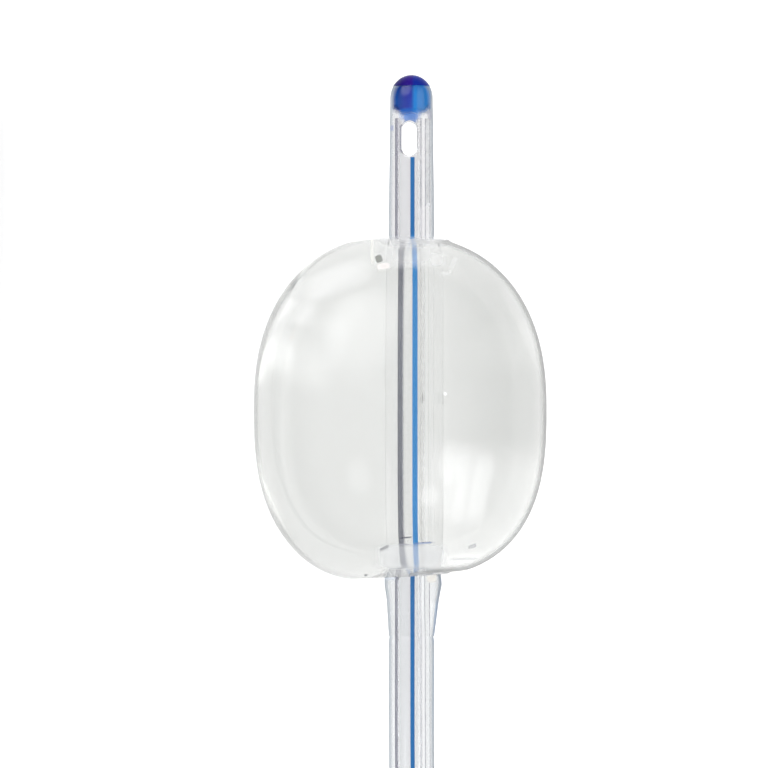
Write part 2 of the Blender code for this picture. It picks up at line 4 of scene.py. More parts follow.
import bpy
import numpy as np
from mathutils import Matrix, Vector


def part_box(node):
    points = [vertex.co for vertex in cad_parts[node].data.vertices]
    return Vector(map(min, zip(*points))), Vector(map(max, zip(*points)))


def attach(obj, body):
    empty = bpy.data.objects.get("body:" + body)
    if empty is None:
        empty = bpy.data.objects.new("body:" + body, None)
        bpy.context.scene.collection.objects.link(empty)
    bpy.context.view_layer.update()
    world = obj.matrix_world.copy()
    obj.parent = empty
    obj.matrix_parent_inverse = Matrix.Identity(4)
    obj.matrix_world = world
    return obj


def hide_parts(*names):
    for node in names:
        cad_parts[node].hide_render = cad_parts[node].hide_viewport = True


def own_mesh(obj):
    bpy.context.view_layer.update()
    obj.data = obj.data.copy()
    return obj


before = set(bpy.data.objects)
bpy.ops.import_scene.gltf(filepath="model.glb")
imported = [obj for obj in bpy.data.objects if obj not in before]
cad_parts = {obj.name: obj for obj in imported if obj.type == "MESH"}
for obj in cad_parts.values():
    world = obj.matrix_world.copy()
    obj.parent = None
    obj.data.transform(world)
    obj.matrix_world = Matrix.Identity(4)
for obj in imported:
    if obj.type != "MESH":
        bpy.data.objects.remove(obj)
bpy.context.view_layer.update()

scene = bpy.context.scene
scene.view_settings.view_transform = "Standard"
scene.cycles.max_bounces = 16
scene.cycles.diffuse_bounces = 2
scene.cycles.glossy_bounces = 4
scene.cycles.transmission_bounces = 14
scene.cycles.transparent_max_bounces = 24

# The frame gives the places: the tip, the funnel and the valve
tipLow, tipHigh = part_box("tip_plug")
tipX, tipY, axisZ = (tipLow.x + tipHigh.x) / 2, tipHigh.y, (tipLow.z + tipHigh.z) / 2
funnelLow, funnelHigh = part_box("y_funnel")
funnelNose, funnelZ = funnelLow.y, (funnelLow.z + funnelHigh.z) / 2
valveLow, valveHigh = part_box("valve_base")
valveX, valveZ = (valveLow.x + valveHigh.x) / 2, (valveLow.z + valveHigh.z) / 2

photo = {
    "side": 768,
    "pixelsPerMetre": 8140,
    "tipPixel": (411.5, 75.0),
    "cameraHeight": 0.62,
    "sensor": 36.0,
}

tube = {
    "radius": 0.002665,
    "start": 0.0014,
    "domeLength": 0.0029,
    "swell": 0.045,
    "drainRadius": 0.0012,
    "drainOffset": -0.00025,
    "inflationRadius": 0.00026,
    "inflationOffset": 0.00146,
    "lumenStart": 0.0051,
    "eyeRows": (0.0052, 0.0106, 0.00025),
    "portRows": (0.0388, 0.0410, 0.0003),
    "plugBore": 0.00177,
    "plugBoreEnd": 0.00535,
    "plugEnd": 0.0053,
    "plugCorner": 0.0009,
    "eyeStart": 0.00565,
    "eyeLength": 0.0044,
    "eyeWidth": 0.00185,
    "eyeOffset": -0.00025,
    "portAt": 0.0398,
    "portLength": 0.0012,
    "portWidth": 0.0005,
    "sealStart": 0.0054,
    "sealEnd": 0.0161,
    "proximalSeal": 0.0095,
    "stripeHalf": 0.00025,
    "stripeDepth": 0.0003,
    "stripeCrown": 0.00004,
    "stripeAt": 0.985,
    "stripeAside": -0.0001,
    "straightEnd": 0.0700,
    "inFunnel": 0.024,
    "bendStep": 0.0016,
    "sides": 64,
    "drainSides": 40,
    "inflationSides": 16,
}

balloon = {
    "radius": 0.0180,
    "centre": 0.0409,
    "reachUp": 0.0212,
    "reachDown": 0.0209,
    "shapeUp": 2.30,
    "shapeDown": 2.68,
    "offset": -0.0014,
    "tilt": 0.107,
    "wall": 0.00030,
    "waterGap": 0.00005,
    "upperRim": 0.0050,
    "lowerRim": 0.0062,
    "upperCuff": (0.0203, 0.0237, 0.00035),
    "lowerCuff": (0.0572, 0.0645, 0.00060),
    "lowerCuffBulge": 0.0004,
    "taperEnd": 0.0689,
    "bondGap": 0.00005,
    "upperFold": [(0.08, 0.08), (0.18, 0.32), (0.22, 0.60), (0.31, 0.84), (0.52, 0.95)],
    "lowerFold": [(0.05, 0.07), (0.17, 0.44), (0.23, 0.74), (0.36, 0.89), (0.59, 0.93)],
    "cloudyWithin": 0.0056,
    "tiltFade": (0.0040, 0.0090),
    "leanLoss": 0.3,
    "rows": 22,
    "steps": 104,
}
bondGap = balloon["bondGap"]
cuffBore = tube["radius"] + bondGap
bellyTop = balloon["centre"] - balloon["reachUp"]
bellyEnd = balloon["centre"] + balloon["reachDown"]
upperBond = (balloon["upperCuff"][0], balloon["upperCuff"][1] + 0.0003)
lowerBond = (balloon["lowerCuff"][0] - 0.0002, balloon["taperEnd"])
taperStart = bellyEnd + 0.0008

# The tube's route, as x and y from the tip and the share of the rise from the surface
routeOut = [
    (0.0000, 0.0000, 1.000), (0.0000, -0.0300, 1.000), (0.0000, -0.0600, 1.000), (0.0000, -0.0660, 1.000),
    (0.0000, -0.0700, 1.000), (0.0000, -0.0790, 0.972), (0.0002, -0.0930, 0.840), (0.0010, -0.1070, 0.610),
    (0.0020, -0.1210, 0.345), (0.0022, -0.1350, 0.125), (0.0002, -0.1490, 0.015), (-0.0052, -0.1632, 0.000),
    (-0.0148, -0.1743, 0.000), (-0.0278, -0.1797, 0.000),
]
routeBack = [
    (-0.0418, -0.1783, 0.000), (-0.0535, -0.1704, 0.000), (-0.0610, -0.1582, 0.000),
    (-0.0642, -0.1430, 0.000), (-0.0646, -0.1280, 0.030), (-0.0636, -0.1130, 0.170),
    (-0.0624, -0.0980, 0.450), (-0.0617, -0.0840, 0.790), (-0.0615, -0.0710, 0.985),
    (-0.0615, -0.0620, 1.000), (-0.0615, -0.0580, 1.000), (-0.0615, -0.0540, 1.000),
    (-0.0615, -0.0380, 1.000),
]


def pickOnly(obj):
    if bpy.context.object and bpy.context.object.mode != "OBJECT":
        bpy.ops.object.mode_set(mode="OBJECT")
    bpy.ops.object.select_all(action="DESELECT")
    obj.select_set(True)
    bpy.context.view_layer.objects.active = obj


def applyAll(obj):
    pickOnly(obj)
    for modifier in list(obj.modifiers):
        bpy.ops.object.modifier_apply(modifier=modifier.name)


def joinPieces(target, others):
    pickOnly(target)
    for other in others:
        other.select_set(True)
    bpy.ops.object.join()
    return target


def closeAndSmooth(obj, angle=35):
    pickOnly(obj)
    bpy.ops.object.mode_set(mode="EDIT")
    bpy.ops.mesh.select_all(action="SELECT")
    bpy.ops.mesh.remove_doubles(threshold=1e-6)
    bpy.ops.mesh.normals_make_consistent(inside=False)
    bpy.ops.object.mode_set(mode="OBJECT")
    bpy.ops.object.shade_smooth_by_angle(angle=math.radians(angle))
    return obj


def cutAway(obj, cutter, operation="DIFFERENCE"):
    boolean = obj.modifiers.new("cut", "BOOLEAN")
    boolean.operation = operation
    boolean.solver = "EXACT"
    boolean.object = cutter
    applyAll(obj)
    bpy.data.objects.remove(cutter, do_unlink=True)


def smoothRoute(points, count=1600):
    # a natural cubic spline through the route's points
    p = np.array(points)
    t = np.concatenate([[0.0], np.cumsum(np.linalg.norm(np.diff(p, axis=0), axis=1))])
    h = np.diff(t)
    system, right = np.eye(len(p)), np.zeros((len(p), 3))
    for i in range(1, len(p) - 1):
        system[i, i - 1 : i + 2] = h[i - 1], 2 * (h[i - 1] + h[i]), h[i]
        right[i] = 6 * ((p[i + 1] - p[i]) / h[i] - (p[i] - p[i - 1]) / h[i - 1])
    bend = np.linalg.solve(system, right)
    read = np.linspace(0.0, t[-1], count)
    span = np.clip(np.searchsorted(t, read, side="right") - 1, 0, len(h) - 1)
    a = ((t[span + 1] - read) / h[span])[:, None]
    b = 1 - a
    hh = (h[span] ** 2 / 6)[:, None]
    return a * p[span] + b * p[span + 1] + hh * ((a**3 - a) * bend[span] + (b**3 - b) * bend[span + 1])


def alongLine(line, distances):
    run = np.concatenate([[0.0], np.cumsum(np.linalg.norm(np.diff(line, axis=0), axis=1))])
    return np.stack([np.interp(distances, run, line[:, k]) for k in range(line.shape[1])], axis=1)


def tubeRoute():
    radius = tube["radius"]
    out = [(tipX + x, tipY + y, radius + up * (axisZ - radius)) for x, y, up in routeOut]
    back = [(tipX + x, tipY + y, radius + up * (funnelZ - radius)) for x, y, up in routeBack]
    return smoothRoute(out + back)


line = tubeRoute()
pastNose = tipY + routeBack[-1][1] - funnelNose
tubeLength = float(np.linalg.norm(np.diff(line, axis=0), axis=1).sum()) - pastNose + tube["inFunnel"]
print("tube length", round(tubeLength, 4))


def ring(radius, side, count):
    turns = [2 * math.pi * (i + 0.5) / count for i in range(count)]
    return [(side + radius * math.cos(a), radius * math.sin(a)) for a in turns]


def flatCurve(name, outline):
    curve = bpy.data.curves.new(name, "CURVE")
    curve.dimensions = "2D"
    spline = curve.splines.new("POLY")
    spline.points.add(len(outline) - 1)
    for point, (x, y) in zip(spline.points, outline):
        point.co = (x, y, 0.0, 1.0)
    spline.use_cyclic_u = True
    obj = bpy.data.objects.new(name, curve)
    scene.collection.objects.link(obj)
    return obj


def sweepAlong(name, points, outline, scales=None):
    # the outline, carried along the points and made a mesh. Its x is mirrored on the way.
    section = flatCurve(name + "Section", outline)
    path = bpy.data.curves.new(name, "CURVE")
    path.dimensions = "3D"
    path.twist_mode = "Z_UP"
    spline = path.splines.new("POLY")
    spline.points.add(len(points) - 1)
    for i, (point, co) in enumerate(zip(spline.points, points)):
        point.co = (*co, 1.0)
        point.radius = 1.0 if scales is None else scales[i]
    path.bevel_mode = "OBJECT"
    path.bevel_object = section
    path.use_fill_caps = True
    obj = bpy.data.objects.new(name, path)
    scene.collection.objects.link(obj)
    pickOnly(obj)
    bpy.ops.object.convert(target="MESH")
    bpy.data.objects.remove(section, do_unlink=True)
    return closeAndSmooth(bpy.context.object)


def spinProfile(name, profile, steps, x, z, y0, way, closed=True):
    # A circle with as many points as the half section, its points moved onto it, spun about the piece's axis.
    # The profile is (radius, distance), and the distance runs from y0 to +Y or -Y.
    bpy.ops.object.select_all(action="DESELECT")
    bpy.ops.mesh.primitive_circle_add(vertices=len(profile), radius=0.001, location=(0, 0, 0))
    obj = bpy.context.object
    obj.name = name
    for vertex, (r, d) in zip(obj.data.vertices, profile):
        vertex.co = (x + r, y0 + way * d, z)
    if not closed:
        last = len(profile) - 1
        for edge in obj.data.edges:
            edge.select = set(edge.vertices) == {0, last}
        for vertex in obj.data.vertices:
            vertex.select = False
        bpy.ops.object.mode_set(mode="EDIT")
        bpy.ops.mesh.select_mode(type="EDGE")
        bpy.ops.mesh.delete(type="EDGE")
    bpy.ops.object.mode_set(mode="EDIT")
    bpy.ops.mesh.select_mode(type="VERT")
    bpy.ops.mesh.select_all(action="SELECT")
    bpy.ops.mesh.spin(steps=steps, angle=2 * math.pi, center=(x, y0, z), axis=(0, 1, 0))
    bpy.ops.object.mode_set(mode="OBJECT")
    return closeAndSmooth(obj)


def smoothStep(value, low, high):
    share = min(max((value - low) / (high - low), 0.0), 1.0)
    return share * share * (3 - 2 * share)


def domeRadius(distance):
    share = min(distance / tube["domeLength"], 1.0)
    return tube["radius"] * math.sqrt(1 - (1 - share) ** 2)


# Finishes

finish = {
    "upperTint": (0.720, 0.720, 0.728),
    "lowerTint": (0.735, 0.748, 0.755),
    "hazeTint": (0.90, 0.91, 0.92),
    "hazeFrom": (-0.0044, -0.0056),
    "silicone": 1.41,
    "inWater": 1.058,
}

# Marks of the adhesive and the dye, with painted glints and painted shade lines: pixel, half width, half
# length, turn in degrees, colour, strength
tubeMarksAndPaintedLight = [
    (429.5, 116.0, 2.5, 5.0, 0, (0.30, 0.30, 0.42), 0.45),
    (392.0, 128.5, 2.0, 3.5, 0, (0.25, 0.30, 0.55), 0.45),
    (392.0, 101.0, 2.0, 11.0, 0, (0.40, 0.43, 0.55), 0.40),
    (398.5, 138.0, 2.5, 20.0, 0, (0.42, 0.42, 0.50), 0.30),
    (410.0, 115.0, 13.0, 7.0, 0, (0.02, 0.18, 0.58), 0.45),
    (410.5, 119.5, 8.0, 5.5, 0, (0.01, 0.15, 0.54), 0.60),
    (420.5, 104.0, 4.5, 17.0, 0, (0.70, 0.78, 0.92), 0.07),
    (428.0, 205.5, 2.2, 3.2, -30, (0.93, 0.93, 0.96), 0.60),
    (390.5, 571.0, 8.0, 10.0, 0, (0.72, 0.80, 0.95), 0.45),
    # painted glint
    (431.5, 575.5, 6.0, 7.5, 0, (1.00, 0.97, 0.90), 0.80),
    # painted shade along the lower tube's right edge
    (435.0, 622.0, 1.6, 26.0, -4, (0.30, 0.42, 0.62), 0.45),
    (433.8, 706.0, 1.5, 64.0, 0, (0.35, 0.50, 0.68), 0.35),
]
sleeveMarksAndGlints = [
    (379.0, 261.0, 4.0, 4.6, 20, (0.16, 0.17, 0.15), 0.75),
    (383.5, 268.5, 8.0, 4.0, 8, (0.96, 0.90, 0.88), 0.60),
    (372.5, 251.0, 2.2, 19.0, 0, (0.97, 0.96, 0.90), 0.36),
    (452.0, 266.0, 3.0, 10.0, -25, (0.98, 0.98, 0.98), 0.20),
    (445.0, 275.5, 7.0, 2.5, 12, (0.98, 0.98, 0.98), 0.20),
    (438.0, 262.0, 9.0, 8.0, 0, (0.90, 0.90, 0.90), 0.22),
    # painted glint at the inflation port
    (443.5, 393.5, 2.2, 2.4, 40, (1.00, 1.00, 1.00), 0.80),
    (405.0, 534.0, 7.0, 1.0, 6, (0.12, 0.12, 0.15), 0.70),
    (384.5, 544.5, 6.0, 1.8, 27, (0.12, 0.12, 0.14), 0.75),
    (404.5, 541.0, 7.0, 1.0, -5, (0.20, 0.20, 0.28), 0.55),
    (423.0, 539.5, 10.0, 1.3, 4, (0.05, 0.14, 0.42), 0.55),
    (411.0, 553.5, 40.0, 16.0, 0, (0.93, 0.95, 0.98), 0.40),
    (411.0, 253.0, 32.0, 20.0, 0, (0.94, 0.94, 0.95), 0.22),
    (462.0, 556.5, 16.0, 1.4, 0, (0.70, 0.74, 0.76), 0.40),
    (471.0, 543.5, 5.0, 2.4, 20, (0.45, 0.45, 0.48), 0.45),
    (366.0, 573.0, 2.0, 1.6, 0, (0.15, 0.15, 0.15), 0.60),
    (379.0, 573.5, 8.0, 1.6, 18, (0.45, 0.44, 0.42), 0.40),
]
# Painted highlights, where the balloon's tint is lifted to white: place and size as above, share
paintedHighlights = [
    (336.0, 282.0, 46.0, 17.0, 20, 0.95),
    (296.0, 313.0, 27.0, 16.0, -10, 0.85),
    (279.0, 338.0, 19.0, 40.0, 8, 0.85),
    (318.0, 352.0, 34.0, 48.0, -20, 0.30),
    (330.0, 246.0, 26.0, 7.0, 20, 0.50),
    (448.0, 480.0, 44.0, 46.0, -12, 0.50),
    (459.0, 482.0, 7.0, 44.0, -7, 0.40),
    (478.0, 487.0, 11.0, 42.0, -10, 0.42),
    (521.0, 316.0, 14.0, 46.0, 24, 0.22),
    (462.0, 557.0, 26.0, 9.0, 4, 0.50),
    (371.0, 565.0, 12.0, 6.0, -14, 0.15),
]


def nodeTree(name):
    material = bpy.data.materials.new(name)
    material.use_nodes = True
    tree = material.node_tree
    tree.nodes.clear()
    return material, tree


def add(tree, kind, **settings):
    node = tree.nodes.new(kind)
    for key, value in settings.items():
        if key in ("operation", "data_type"):
            setattr(node, key, value)
        else:
            node.inputs[key.replace("_", " ")].default_value = value
    return node


def noiseOf(tree, scale, detail=3.0):
    where = tree.nodes.new("ShaderNodeTexCoord")
    noise = add(tree, "ShaderNodeTexNoise", Scale=scale, Detail=detail)
    tree.links.new(where.outputs["Object"], noise.inputs["Vector"])
    return noise.outputs["Fac"]


def smoothRange(tree, value, low, high, first=0.0, last=1.0, kind="SMOOTHSTEP"):
    node = add(tree, "ShaderNodeMapRange", From_Min=low, From_Max=high, To_Min=first, To_Max=last)
    node.interpolation_type = kind
    tree.links.new(value, node.inputs["Value"])
    return node.outputs["Result"]


def spread(tree, noise, low, high):
    return smoothRange(tree, noise, 0.3, 0.7, low, high, "LINEAR")


def feed(tree, value, socket):
    # a socket takes a fixed number, a fixed colour or place, or what another node gives
    if isinstance(value, (float, tuple)):
        socket.default_value = value
    else:
        tree.links.new(value, socket)


def compute(tree, operation, first, second):
    node = add(tree, "ShaderNodeMath", operation=operation)
    feed(tree, first, node.inputs[0])
    feed(tree, second, node.inputs[1])
    return node.outputs[0]


def multiply(tree, first, second):
    return compute(tree, "MULTIPLY", first, second)


def vectorStep(tree, operation, first, second=None):
    node = add(tree, "ShaderNodeVectorMath", operation=operation)
    feed(tree, first, node.inputs[0])
    if second is not None:
        feed(tree, second, node.inputs[1])
    return node.outputs["Value" if operation in ("LENGTH", "DOT_PRODUCT") else "Vector"]


def blendColors(tree, share, first, second):
    mix = add(tree, "ShaderNodeMix", data_type="RGBA")
    feed(tree, share, mix.inputs["Factor"])
    for name, color in (("A", first), ("B", second)):
        feed(tree, (*color, 1.0) if isinstance(color, tuple) else color, mix.inputs[name])
    return mix.outputs["Result"]


def bumpOf(tree, value, depth):
    bump = add(tree, "ShaderNodeBump", Distance=depth, Strength=1.0)
    tree.links.new(value, bump.inputs["Height"])
    return bump.outputs["Normal"]


def mixShaders(tree, share, first, second):
    mix = tree.nodes.new("ShaderNodeMixShader")
    feed(tree, share, mix.inputs["Fac"])
    tree.links.new(first, mix.inputs[1])
    tree.links.new(second, mix.inputs[2])
    return mix.outputs["Shader"]


def diffuseOf(tree, color):
    return add(tree, "ShaderNodeBsdfDiffuse", Color=(*color, 1.0)).outputs["BSDF"]


def clearOf(tree, tint=1.0):
    return add(tree, "ShaderNodeBsdfTransparent", Color=(tint, tint, tint, 1.0)).outputs["BSDF"]


def surfaceOf(tree, shader):
    tree.links.new(shader, tree.nodes.new("ShaderNodeOutputMaterial").inputs["Surface"])


def letLampsThrough(tree, shader, tint):
    # light shines straight through to what lies behind, so that the floor has a pale shadow and no grain
    path = tree.nodes.new("ShaderNodeLightPath")
    lamps = compute(tree, "MAXIMUM", path.outputs["Is Shadow Ray"], path.outputs["Is Diffuse Ray"])
    surfaceOf(tree, mixShaders(tree, lamps, shader, clearOf(tree, tint)))


def placeOf(tree):
    # how far a point of the surface is from the tip, to the side and along the tube
    where = tree.nodes.new("ShaderNodeTexCoord")
    moved = vectorStep(tree, "SUBTRACT", where.outputs["Object"], (tipX, tipY, axisZ))
    parts = tree.nodes.new("ShaderNodeSeparateXYZ")
    tree.links.new(moved, parts.inputs["Vector"])
    return moved, parts.outputs["X"], parts.outputs["Y"], parts.outputs["Z"]


def spotMask(tree, place, spot, soft=0.30):
    # 1 inside a rounded rectangle of the given place and size, fading to 0 at its edge
    (column, row, halfWidth, halfLength, turn), strength = spot[:5], spot[-1]
    scale = photo["pixelsPerMetre"]
    centre = ((column - photo["tipPixel"][0]) / scale, (photo["tipPixel"][1] - row) / scale, 0.0)
    turned = add(tree, "ShaderNodeVectorRotate", Angle=math.radians(-turn))
    turned.rotation_type = "Z_AXIS"
    tree.links.new(vectorStep(tree, "SUBTRACT", place, centre), turned.inputs["Vector"])
    share = (scale / halfWidth, scale / halfLength, 0.0)
    scaled = vectorStep(tree, "MULTIPLY", turned.outputs["Vector"], share)
    far = vectorStep(tree, "LENGTH", vectorStep(tree, "MULTIPLY", scaled, scaled))
    return smoothRange(tree, far, 1.0, soft, 0.0, strength)


def addMarks(tree, shader, spots):
    # marks, painted glints and painted shade lines, only on the side that faces up
    parts = placeOf(tree)
    upper = smoothRange(tree, parts[3], 0.0, 0.0006)
    for spot in spots:
        mask = multiply(tree, spotMask(tree, parts[0], spot), upper)
        shader = mixShaders(tree, mask, shader, diffuseOf(tree, spot[5]))
    return shader


def paintedEdgeShade(tree, shader, color, strength, low, high, left=1.0, right=0.22, within=True):
    # painted shade: a wall seen along itself is painted darker, more on one side than on the other
    # a lumen's wall is seen from within
    facing = add(tree, "ShaderNodeLayerWeight", Blend=0.5)
    side = placeOf(tree)[1]
    edge = smoothRange(tree, facing.outputs["Facing"], low, high, 0.0, strength)
    back = tree.nodes.new("ShaderNodeNewGeometry").outputs["Backfacing"]
    first, last = (0.0, 1.0) if within else (1.0, 0.0)
    edge = multiply(tree, edge, smoothRange(tree, back, 0.0, 1.0, first, last))
    edge = multiply(tree, edge, smoothRange(tree, side, -0.0001, -0.0006, right, left))
    edge = multiply(tree, edge, smoothRange(tree, side, -0.0300, -0.0220, 0.3, 1.0))
    return mixShaders(tree, edge, shader, diffuseOf(tree, color))


def clearSilicone(name, ior, tint, haze, roughness=0.04, ripple=0.000004, shade=0.98, farTint=None, edge=None,
                  marks=(), highlightSpots=()):
    # clear silicone with a little milk in it, its drawn surface never quite even
    material, tree = nodeTree(name)
    parts = placeOf(tree)
    fine = noiseOf(tree, 420.0)
    broad = noiseOf(tree, 90.0, 2.0)
    glass = add(tree, "ShaderNodeBsdfPrincipled", Transmission_Weight=1.0, IOR=ior)
    color = blendColors(tree, broad, tuple(c * 0.985 for c in tint), tint)
    # a second tint towards one end or side; on the balloon it is painted shade, darker on its right
    if farTint:
        axis, low, high, other = farTint
        color = blendColors(tree, smoothRange(tree, parts[axis], low, high), color, other)
    # painted highlights: the tint is lifted to white in soft spots
    for spot in highlightSpots:
        color = blendColors(tree, spotMask(tree, parts[0], spot, 0.0), color, (1.0, 1.0, 1.0))
    tree.links.new(color, glass.inputs["Base Color"])
    tree.links.new(spread(tree, fine, roughness * 0.6, roughness * 1.5), glass.inputs["Roughness"])
    tree.links.new(bumpOf(tree, fine, ripple), glass.inputs["Normal"])
    glow = add(tree, "ShaderNodeBsdfTranslucent", Color=(*finish["hazeTint"], 1.0))
    milky = mixShaders(tree, 0.5, diffuseOf(tree, finish["hazeTint"]), glow.outputs["BSDF"])
    share = smoothRange(tree, parts[2], *finish["hazeFrom"], 0.0, haze)
    shader = mixShaders(tree, share, glass.outputs["BSDF"], milky)
    # painted shade where a wall is seen along itself
    if edge:
        shader = paintedEdgeShade(tree, shader, **edge)
    # marks, among them painted glints and painted shade lines
    if marks:
        shader = addMarks(tree, shader, marks)
    letLampsThrough(tree, shader, shade)
    return material


def bondedFace(name, haze):
    # two bonded silicone faces: no refraction, only a trace of cloud from the adhesive
    material, tree = nodeTree(name)
    share = spread(tree, noiseOf(tree, 700.0), haze * 0.5, haze * 1.5)
    surfaceOf(tree, mixShaders(tree, share, clearOf(tree, 0.995), diffuseOf(tree, finish["hazeTint"])))
    return material


def solidFinish(name, first, second, roughness, scale=300.0, bump=0.00001, metallic=0.0, ior=1.45, clear=0.0):
    material, tree = nodeTree(name)
    fine = noiseOf(tree, scale)
    shader = add(tree, "ShaderNodeBsdfPrincipled", Metallic=metallic, IOR=ior)
    tree.links.new(blendColors(tree, fine, first, second), shader.inputs["Base Color"])
    tree.links.new(spread(tree, fine, roughness * 0.8, roughness * 1.25), shader.inputs["Roughness"])
    tree.links.new(bumpOf(tree, noiseOf(tree, scale * 4), bump), shader.inputs["Normal"])
    surfaceOf(tree, mixShaders(tree, clear, shader.outputs["BSDF"], clearOf(tree)))
    return material


def stripeFinish(name, deep, pale):
    # the dye line looks paler where water lies over it
    material, tree = nodeTree(name)
    along = placeOf(tree)[2]
    fine = noiseOf(tree, 300.0)
    wet = smoothRange(tree, along, -0.0195, -0.0202)
    wet = multiply(tree, wet, smoothRange(tree, along, -0.0615, -0.0560))
    shader = add(tree, "ShaderNodeBsdfPrincipled", IOR=finish["silicone"], Specular_IOR_Level=0.2)
    tree.links.new(blendColors(tree, wet, deep, pale), shader.inputs["Base Color"])
    tree.links.new(spread(tree, fine, 0.35, 0.5), shader.inputs["Roughness"])
    surfaceOf(tree, shader.outputs["BSDF"])
    return material


def tipDyeAndShade(name, left, middle, right, fade=None):
    # painted shade: deep on the left and lighter on the right, as the light falls; the dye thins out at the
    # plug's end
    material, tree = nodeTree(name)
    side, along = placeOf(tree)[1:3]
    fine = noiseOf(tree, 500.0)
    # painted shade across the tip, from the left to the right
    color = blendColors(tree, smoothRange(tree, side, -0.0019, -0.0001), left, middle)
    color = blendColors(tree, smoothRange(tree, side, -0.0001, 0.0004), color, right)
    color = blendColors(tree, spread(tree, fine, 0.0, 0.25), color, right)
    shader = add(tree, "ShaderNodeBsdfPrincipled", IOR=finish["silicone"], Specular_IOR_Level=0.08)
    tree.links.new(color, shader.inputs["Base Color"])
    tree.links.new(spread(tree, fine, 0.22, 0.32), shader.inputs["Roughness"])
    tree.links.new(bumpOf(tree, fine, 0.000006), shader.inputs["Normal"])
    done = shader.outputs["BSDF"]
    if fade:
        sag = multiply(tree, multiply(tree, side, side), -260.0)
        ragged = spread(tree, noiseOf(tree, 900.0), -0.00025, 0.00025)
        along = compute(tree, "ADD", compute(tree, "ADD", along, sag), ragged)
        done = mixShaders(tree, smoothRange(tree, along, -fade[0], -fade[1]), done, clearOf(tree))
    surfaceOf(tree, done)
    return material


# the edge settings are painted shade: a dark tone where a wall is seen along itself
outside = clearSilicone(
    "siliconeOutside", finish["silicone"], finish["upperTint"], haze=0.015, ripple=0.0000025, shade=0.96,
    farTint=(2, -0.020, -0.060, finish["lowerTint"]), marks=tubeMarksAndPaintedLight,
    edge={"color": (0.40, 0.45, 0.50), "strength": 0.80, "low": 0.30, "high": 0.72, "left": 0.9,
          "right": 1.0, "within": False})
lumenWall = clearSilicone(
    "siliconeLumen", finish["silicone"], (0.86, 0.86, 0.87), haze=0.01, roughness=0.06, ripple=0.0000015,
    edge={"color": (0.24, 0.24, 0.31), "strength": 0.80, "low": 0.28, "high": 0.46})
lumenInBalloon = clearSilicone(
    "siliconeLumenInBalloon", finish["silicone"], (0.98, 0.98, 0.98), haze=0.01, roughness=0.06,
    ripple=0.0000015, edge={"color": (0.19, 0.20, 0.24), "strength": 0.95, "low": 0.11, "high": 0.29,
                            "right": 0.03})
inWater = clearSilicone("siliconeInWater", finish["inWater"], (0.99, 0.99, 0.99), haze=0.02)
wetLumen = clearSilicone("siliconeWetLumen", finish["inWater"], (0.99, 0.99, 0.99), haze=0.02)
sealedLumen = clearSilicone(
    "siliconeSealedLumen", finish["inWater"], (0.98, 0.98, 0.98), haze=0.03,
    edge={"color": (0.27, 0.27, 0.33), "strength": 0.78, "low": 0.22, "high": 0.56, "right": 1.0})
cutWall = clearSilicone("siliconeCut", finish["silicone"], (0.93, 0.93, 0.94), haze=0.04)
bonded = bondedFace("siliconeBonded", 0.006)
# the balloon is painted darker on its right side as painted shade, and its edge shade is stronger on the
# right
sleeveOutside = clearSilicone(
    "balloonOutside", finish["silicone"], (0.735, 0.740, 0.730), haze=0.02, roughness=0.03, ripple=0.000002,
    farTint=(1, 0.001, 0.010, (0.600, 0.605, 0.595)), marks=sleeveMarksAndGlints, highlightSpots=paintedHighlights,
    edge={"color": (0.42, 0.425, 0.42), "strength": 0.75, "low": 0.68, "high": 0.88, "left": 0.30,
          "right": 1.0, "within": False})
sleeveInside = clearSilicone(
    "balloonInside", finish["inWater"], (0.94, 0.945, 0.935), haze=0.01, roughness=0.03, ripple=0.000003,
    shade=0.99)
foldCloud = bondedFace("foldCloud", 0.17)
stripeBlue = stripeFinish("stripeBlue", (0.003, 0.15, 0.44), (0.012, 0.25, 0.64))
# tip and plug: painted shade, deep on the left and lighter on the right
tipBlue = tipDyeAndShade("tipBlue", (0.008, 0.003, 0.10), (0.026, 0.005, 0.19), (0.005, 0.020, 0.27))
plugBlue = tipDyeAndShade("plugBlue", (0.001, 0.050, 0.31), (0.012, 0.016, 0.37), (0.001, 0.235, 0.72),
                     fade=(0.0041, 0.0053))
valveOrange = solidFinish("valveOrange", (0.80, 0.27, 0.030), (0.86, 0.33, 0.045), 0.32, 200.0, 0.000004,
                          ior=1.47)
valveWhite = solidFinish("valveWhite", (0.78, 0.78, 0.76), (0.84, 0.84, 0.82), 0.38, 200.0, 0.000004)
valveRubber = solidFinish("valveRubber", (0.70, 0.70, 0.69), (0.76, 0.76, 0.75), 0.55, 400.0, 0.000006)
springSteel = solidFinish("springSteel", (0.54, 0.54, 0.56), (0.64, 0.64, 0.66), 0.28, 900.0, 0.000002,
                          metallic=1.0)
moulded = solidFinish("mouldedSilicone", (0.74, 0.76, 0.77), (0.79, 0.81, 0.82), 0.30, 200.0, 0.000002,
                      ior=finish["silicone"], clear=0.22)
sealCloud = bondedFace("sealCloud", 0.5)
waterClear = bondedFace("waterClear", 0.004)
print("finishes made")


# Tube

def between(first, last, step):
    return list(np.arange(first, last - step / 2, step))


